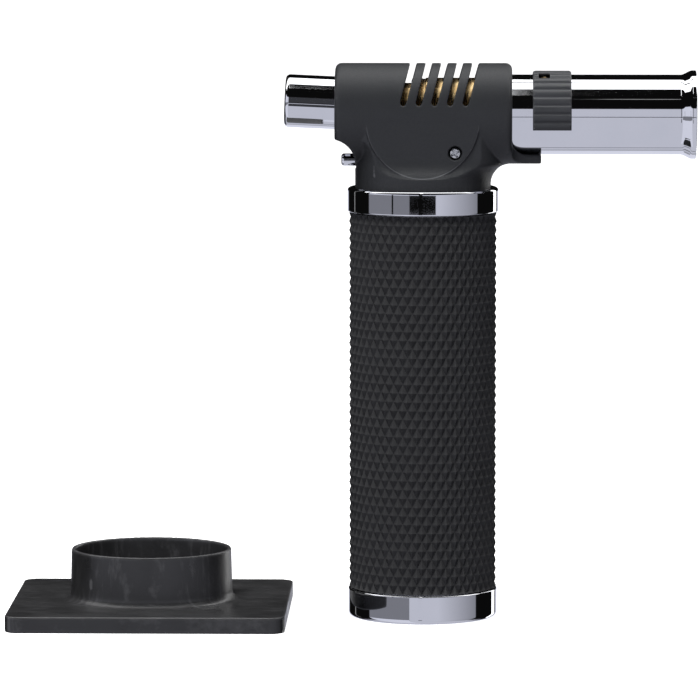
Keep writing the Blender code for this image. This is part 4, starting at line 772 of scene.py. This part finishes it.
def vents():
    """Five leaning slots with round bottoms, open through the top of the barrel."""
    lean, half = math.radians(14.4), 0.75 * MM
    along = Vector((math.sin(lean), math.cos(lean))) * BARREL_RADIUS
    tools = []
    for number in range(5):
        bottom = arc(-4.84 * MM + 3.89 * MM * number, NOZZLE_Z + 2.7 * MM + half, half, 180 - 14.4, 360 - 14.4, 10)
        ends = [(bottom[-1][0] + along.x, bottom[-1][1] + along.y), (bottom[0][0] + along.x, bottom[0][1] + along.y)]
        tools.append(to_object(plate([*bottom, *ends], 2 * BARREL_RADIUS + 2 * PAST, HANDLE @ UPRIGHT), "vent"))
    return tools


def housing_tools():
    """Everything that is hollow in the two halves."""
    front_wall, rear_wall = BARREL_FRONT - WALL, BARREL_REAR - 2.0 * MM
    cavity = BARREL_RADIUS - WALL
    rod = [(0, front_wall), (cavity, front_wall), (cavity, -rear_wall), (0, -rear_wall)]
    tools = [to_object(spun(rod, 96, NOZZLE), "barrel_cavity")]
    bore = [(0, FOOT_END + PAST), (NOZZLE_BORE, FOOT_END + PAST), (NOZZLE_BORE, front_wall - PAST), (0, front_wall - PAST)]
    tools.append(to_object(spun(bore, 128, NOZZLE), "nozzle_bore"))
    rear_face = IGNITER @ Matrix.Translation((0, 0, 0))
    hole = 6.95 * MM
    out = 9 * MM
    tools.append(to_object(spun([(0, out), (hole, out), (hole, -out), (0, -out)], 96, Matrix.Translation((low("housing_right").x - BUTTON_CENTRE.x, 0, (low("housing_right").x - BUTTON_CENTRE.x) * math.tan(-IGNITER_TILT))) @ rear_face), "button_bore"))
    shelf = NECK_BOTTOM + 1.4 * MM
    room = [(0, shelf + 2.3 * MM), (9.2 * MM, shelf + 2.3 * MM), (9.2 * MM, shelf), (15.1 * MM, shelf)]
    room += [(15.1 * MM, NECK_BOTTOM - PAST), (0, NECK_BOTTOM - PAST)]
    tools.append(to_object(spun(room, 96), "plug_room"))
    half_width = SIDE_WIDTH - WALL
    crease = math.degrees(math.asin(half_width / (15.0 * MM)))
    outline = arc(0, 0, 15.0 * MM, -crease, crease, 24) + arc(0, 0, 15.0 * MM, 180 - crease, 180 + crease, 24)
    bottom, top = shelf + 2.0 * MM, NOZZLE_Z - 5.0 * MM
    tools.append(to_object(plate(outline, top - bottom, HANDLE @ Matrix.Translation((0, 0, (top + bottom) / 2))), "head_cavity"))
    slot = [*arc(0, 0, 22.5 * MM, 121, 189, 24), (0, 0)]
    tools.append(to_object(plate(slot, 3.97 * MM, HANDLE @ Matrix.Translation((0, 0, LEVER_Z))), "lever_slot"))
    for side in (1, -1):
        floor = SIDE_WIDTH - 1.3 * MM
        well = [(0, SIDE_WIDTH + PAST), (1.75 * MM, SIDE_WIDTH + PAST), (1.75 * MM, floor), (1.3 * MM, floor)]
        well += [(1.3 * MM, half_width - PAST), (0, half_width - PAST)]
        place = Matrix.Translation(SCREW_PLACE) @ Matrix.Rotation(math.radians(90 * side), 4, "X")
        tools.append(to_object(spun(well, 48, place), "screw_well"))
    return tools + vents()


def housing(material):
    solid = barrel_solid()
    tools = housing_tools()
    for side, name in ((-1, "right"), (1, "left")):
        half = bpy.data.objects.new("head_" + name, solid.data.copy())
        bpy.context.scene.collection.objects.link(half)
        near, far = sorted((side * 0.13 * MM, side * (NECK_RADIUS + PAST)))
        corner_low = (-40 * MM, near, NECK_BOTTOM - PAST)
        corner_high = (40 * MM, far, NOZZLE_Z + BARREL_RADIUS + PAST)
        boolean(half, "INTERSECT", to_object(block(corner_low, corner_high, HANDLE), "side"))
        boolean(half, "DIFFERENCE", *tools, keep=True)
        moulded(half, 0.27 * MM, 4)
        finish_piece(half, material, "torch", "black_glass_nylon", "housing_" + name, angle=0)
    for unwanted in [solid, *tools]:
        bpy.data.objects.remove(unwanted, do_unlink=True)


def screws(material):
    """Pan-head screws with a cross recess, sunk in their wells."""
    for side, name in ((-1, "right"), (1, "left")):
        node = "housing_screw_" + name
        face = max(abs(low(node).y), abs(high(node).y))
        radius = (high(node).x - low(node).x) / 2 - HAIR
        head = [(0, face), *arc(radius - 0.45 * MM, face - 0.45 * MM, 0.45 * MM, 90, 0, 6), (radius, face - 0.8 * MM)]
        head += [(0.95 * MM, face - 0.8 * MM), (0.95 * MM, face - 4.9 * MM), (0, face - 4.9 * MM)]
        place = Matrix.Translation(SCREW_PLACE) @ Matrix.Rotation(math.radians(-90 * side), 4, "X")
        screw = to_object(spun(head, 64, place), "screw_" + name)
        tools = []
        for angle in (30, 120):
            turn = place @ Matrix.Rotation(math.radians(angle), 4, "Z")
            tools.append(to_object(block((-1.1 * MM, -0.24 * MM, face - 1.1 * MM), (1.1 * MM, 0.24 * MM, face + MM), turn), "slot"))
        boolean(screw, "DIFFERENCE", *tools)
        moulded(screw, 0.07 * MM, 2)
        finish_piece(screw, material, "torch", "zinc_plate", node, angle=0)


def button(material):
    """The push button: a chromed cap that slides in the rear of the barrel."""
    radius, wall, flange = 6.65 * MM - HAIR, 1.0 * MM, 7.58 * MM
    out = 0.0
    for vert in frame["nodes"]["igniter_button"].data.vertices:
        local = IGNITER.inverted() @ vert.co
        out = max(out, local.z)
    inner = -out
    rim = 1.1 * MM
    cap = [(0, out - 0.12 * MM), (radius - 1.6 * MM, out - 0.12 * MM), (radius - 1.3 * MM, out)]
    cap += arc(radius - rim, out - rim, rim, 90, 0, 10)
    cap += [(radius, inner + 1.2 * MM), (flange, inner + 1.2 * MM), (flange, inner), (radius - wall, inner)]
    cap += [(radius - wall, out - 1.3 * MM), (0, out - 1.3 * MM)]
    turned_piece("push_button", cap, material, "igniter", "chrome_plate", "igniter_button", steps=160, place=IGNITER)


def lever(material):
    """The gas lever: a chromed pin with a rounded end on a thinner shank."""
    reach = TORCH_X - low("flow_lever").x
    start = TORCH_X - high("flow_lever").x
    radius = (high("flow_lever").z - low("flow_lever").z) / 2 - HAIR
    place = Matrix.Translation((TORCH_X, 0, LEVER_Z)) @ Matrix.Rotation(math.radians(-90), 4, "Y")
    pin = [(0, reach), *arc(radius - 0.7 * MM, reach - 0.7 * MM, 0.7 * MM, 90, 0, 8)]
    pin += [(radius, 9.2 * MM), (radius - 0.2 * MM, 9.0 * MM), (0.98 * MM, 9.0 * MM), (0.98 * MM, start), (0, start)]
    turned_piece("gas_lever", pin, material, "flow_control", "chrome_plate", "flow_lever", steps=64, place=place)


def nozzle(material):
    """The flame tube: thin drawn tube, flared to a rolled lip at its mouth, with an air hole above."""
    mouth = high("nozzle_tube").x - TORCH_X
    back = low("nozzle_tube").x - TORCH_X
    radius, wall = 10.0 * MM, 0.5 * MM
    flare = 11.1 * MM - HAIR
    tube = [(10.75 * MM, back), (10.75 * MM, back + 1.2 * MM), (radius, back + 1.2 * MM)]
    slope = 27.0
    first, knee = 2.2 * MM, 1.6 * MM
    begin = mouth - 4.0 * MM
    tube += [(radius, begin - 0.1 * MM)]
    tube += [(radius + first - across, begin + along) for across, along in arc(0, 0, first, 0, slope, 6)]
    drop = flare - knee + knee * math.cos(math.radians(slope))
    rise = tube[-1][1] + (drop - tube[-1][0]) / math.tan(math.radians(slope))
    tube += [(flare - knee + across, rise + knee * math.sin(math.radians(slope)) - along) for across, along in arc(0, 0, knee, slope, 0, 6)]
    tube += [(flare, tube[-1][1] + 0.1 * MM), (flare, mouth - 0.3 * MM)]
    tube += arc(flare - 0.25 * MM, mouth - 0.25 * MM, 0.25 * MM, 0, 180, 6)
    tube += [(flare - wall, mouth - 1.6 * MM), (radius - wall + 0.15 * MM, mouth - 3.7 * MM), (radius - wall, mouth - 4.2 * MM), (radius - wall, back)]
    piece = to_object(spun(tube[::-1], 160, NOZZLE), "flame_tube")
    air_x = middle("air_collar").x
    angle = math.radians(AIR_ANGLE)
    place = Matrix.Translation((low("air_collar").x + 2.9 * MM, 0, NOZZLE_Z)) @ Matrix.Rotation(angle, 4, "X")
    hole = [(0, 13 * MM), (1.1 * MM, 13 * MM), (1.1 * MM, 5 * MM), (0, 5 * MM)]
    boolean(piece, "DIFFERENCE", to_object(spun(hole, 40, place), "air_hole"))
    finish_piece(piece, material, "torch", "chrome_plate", "nozzle_tube")


AIR_ANGLE = 22  # degrees from the top towards the right-hand side


def air_collar(material):
    """A springy clip round the nozzle: rounded ridges along it, a notch over the air hole."""
    back, front = low("air_collar").x, high("air_collar").x
    inner, outer, valley = 10.2 * MM, 11.0 * MM - HAIR, 10.68 * MM
    spread_angle, ridges = 110.0, 19
    pitch = 2 * spread_angle / ridges
    outline = []
    for number in range(ridges):
        for step in range(8):
            share = step / 8
            wave = max(0.0, math.sin(math.pi * min(share / 0.86, 1.0))) ** 0.45
            angle = math.radians(180 - spread_angle + pitch * (number + share))
            radius = valley + (outer - valley) * wave
            outline.append((radius * math.cos(angle), radius * math.sin(angle)))
    outline += arc(0, 0, inner, 180 + spread_angle, 180 - spread_angle, 72)
    centre = Matrix.Translation((0, 0, (back + front) / 2 - TORCH_X))
    clip = to_object(plate(outline, front - back - 2 * HAIR, NOZZLE @ centre), "air_clip")
    ends = [(0, front - TORCH_X), *arc(outer - 0.7 * MM, front - TORCH_X - 0.7 * MM, 0.7 * MM, 90, 0, 8)]
    ends += [*arc(outer - 0.7 * MM, back - TORCH_X + 0.7 * MM, 0.7 * MM, 0, -90, 8), (0, back - TORCH_X)]
    boolean(clip, "INTERSECT", to_object(spun(ends, 128, NOZZLE), "rounded"))
    place = Matrix.Translation((0, 0, NOZZLE_Z)) @ Matrix.Rotation(math.radians(AIR_ANGLE), 4, "X")
    notch = block((back + 1.5 * MM, -1.3 * MM, inner - MM), (back + 4.3 * MM, 1.3 * MM, outer + MM), place)
    boolean(clip, "DIFFERENCE", to_object(notch, "notch"))
    moulded(clip, 0.11 * MM, 3)
    finish_piece(clip, material, "air_control", "black_acetal", "air_collar", angle=0)


def burner(brass):
    """The brass burner tube that shows through the vents: turned, with a stepped rear end."""
    back, front = low("burner_tube").x - TORCH_X, high("burner_tube").x - TORCH_X
    radius = (high("burner_tube").z - low("burner_tube").z) / 2 - HAIR
    bore = radius - 0.68 * MM
    tube = [(bore, front), (radius, front), (radius, back + 2.4 * MM), (radius - 0.25 * MM, back + 2.2 * MM)]
    tube += [(radius - 0.25 * MM, back + 1.5 * MM), (radius, back + 1.3 * MM), (radius, back + 0.2 * MM), (radius - 0.2 * MM, back), (bore, back)]
    turned_piece("brass_burner", tube, brass, "torch", "turned_brass", "burner_tube", steps=128, place=NOZZLE)


def spring(node, name, material, body="torch"):
    """A coil of wire, taken from its plain node's own mesh."""
    work = bmesh.new()
    work.from_mesh(frame["nodes"][node].data)
    bmesh.ops.remove_doubles(work, verts=work.verts, dist=0.001 * MM)
    piece = finish_piece(to_object(work, name), material, body, "bright_steel", node, angle=50)
    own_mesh(piece)


# ------------------------------------------------------------ stand


def stand(material):
    half = (high("stand").x - low("stand").x) / 2 - HAIR
    top, thick, corner = high("stand").z, 4.1 * MM, 4.0 * MM
    bore, floor = 19.2 * MM, 2.6 * MM
    inset = half - corner
    outline = []
    for across, up, start in ((inset, inset, 0), (-inset, inset, 90), (-inset, -inset, 180), (inset, -inset, 270)):
        outline += arc(across, up, corner, start, start + 90, 10)
    base = to_object(plate(outline, thick, STAND @ Matrix.Translation((0, 0, thick / 2))), "torch_stand")
    foot, rim, fillet = bore + 1.25 * MM, bore + 1.0 * MM, 1.9 * MM
    cup = [(0, top), *arc(rim - 0.45 * MM, top - 0.45 * MM, 0.45 * MM, 90, 0, 5)]
    cup += arc(foot + fillet, thick + fillet, fillet, 180, 270, 8)
    cup += [(foot + fillet, thick / 2), (0, thick / 2)]
    hollow = [(0, top + MM), (bore + 0.4 * MM, top + MM), (bore, top - 0.5 * MM), (bore, floor + 0.8 * MM)]
    hollow += arc(bore - 0.8 * MM, floor + 0.8 * MM, 0.8 * MM, 0, -90, 5)
    hollow.append((0, floor))
    boolean(base, "UNION", to_object(spun(cup, 160, STAND), "cup"))
    boolean(base, "DIFFERENCE", to_object(spun(hollow, 160, STAND), "hollow"))
    moulded(base, 0.4 * MM, 2)
    finish_piece(base, material, "loose_stand", "black_styrene", "stand", angle=0)


# ------------------------------------------------------------ put together

set_camera()
set_light()
set_floor()

CHROME = chrome_plate()
NYLON_BLACK = glass_filled_nylon()
RUBBER = grip_rubber()
ACETAL = acetal()
STYRENE = styrene()
ALUMINIUM = drawn_aluminium()
BRASS = turned_brass()
STEEL = plain_metal("bright steel", "bcbdbf", "cfd0d1", 0.22, 0.38, 3 * MM)
ZINC = plain_metal("zinc-plated steel", "cfd2d6", "e2e3e2", 0.20, 0.34, 1.5 * MM)
COPPER = plain_metal("drawn copper", "d98e6a", "c67850", 0.24, 0.36, 3 * MM)
NYLON = plain_solid("natural nylon", "dcdacf", "e8e6de", 0.40, 0.55, 6 * MM, 1.53)
SEAL = plain_solid("nitrile seal", "161616", "1f1f1f", 0.45, 0.6, 3 * MM)
FELT = plain_solid("pressed felt", "cfcabd", "e2ded2", 0.9, 0.98, 1.2 * MM)
CERAMIC = plain_solid("glazed ceramic", "e6e3d8", "f2efe6", 0.12, 0.24, 2 * MM, 1.6)
LEAD = plain_solid("silicone lead cover", "18181a", "222224", 0.4, 0.5, 3 * MM, 1.41)

FINISHES = {
    "chrome_plate": CHROME,
    "grip_rubber": RUBBER,
    "black_glass_nylon": NYLON_BLACK,
    "black_acetal": ACETAL,
    "black_styrene": STYRENE,
    "drawn_aluminium": ALUMINIUM,
    "white_nylon": NYLON,
    "seal_rubber": SEAL,
    "filter_felt": FELT,
    "turned_brass": BRASS,
    "bright_steel": STEEL,
    "zinc_plate": ZINC,
    "drawn_copper": COPPER,
    "white_ceramic": CERAMIC,
    "wire_cover": LEAD,
}
for part in frame["record"]["subparts"]:
    node = frame["nodes"][part["node"]]
    node.data.materials.clear()
    node.data.materials.append(FINISHES[part["material_slot"]])

bottom_ring(CHROME)
knurled_sleeve(RUBBER)
top_collar(CHROME)
housing(NYLON_BLACK)
screws(ZINC)
button(CHROME)
lever(CHROME)
nozzle(CHROME)
air_collar(ACETAL)
burner(BRASS)
spring("piezo_spring", "igniter_spring", STEEL)
spring("refill_spring", "needle_spring", STEEL)
stand(STYRENE)
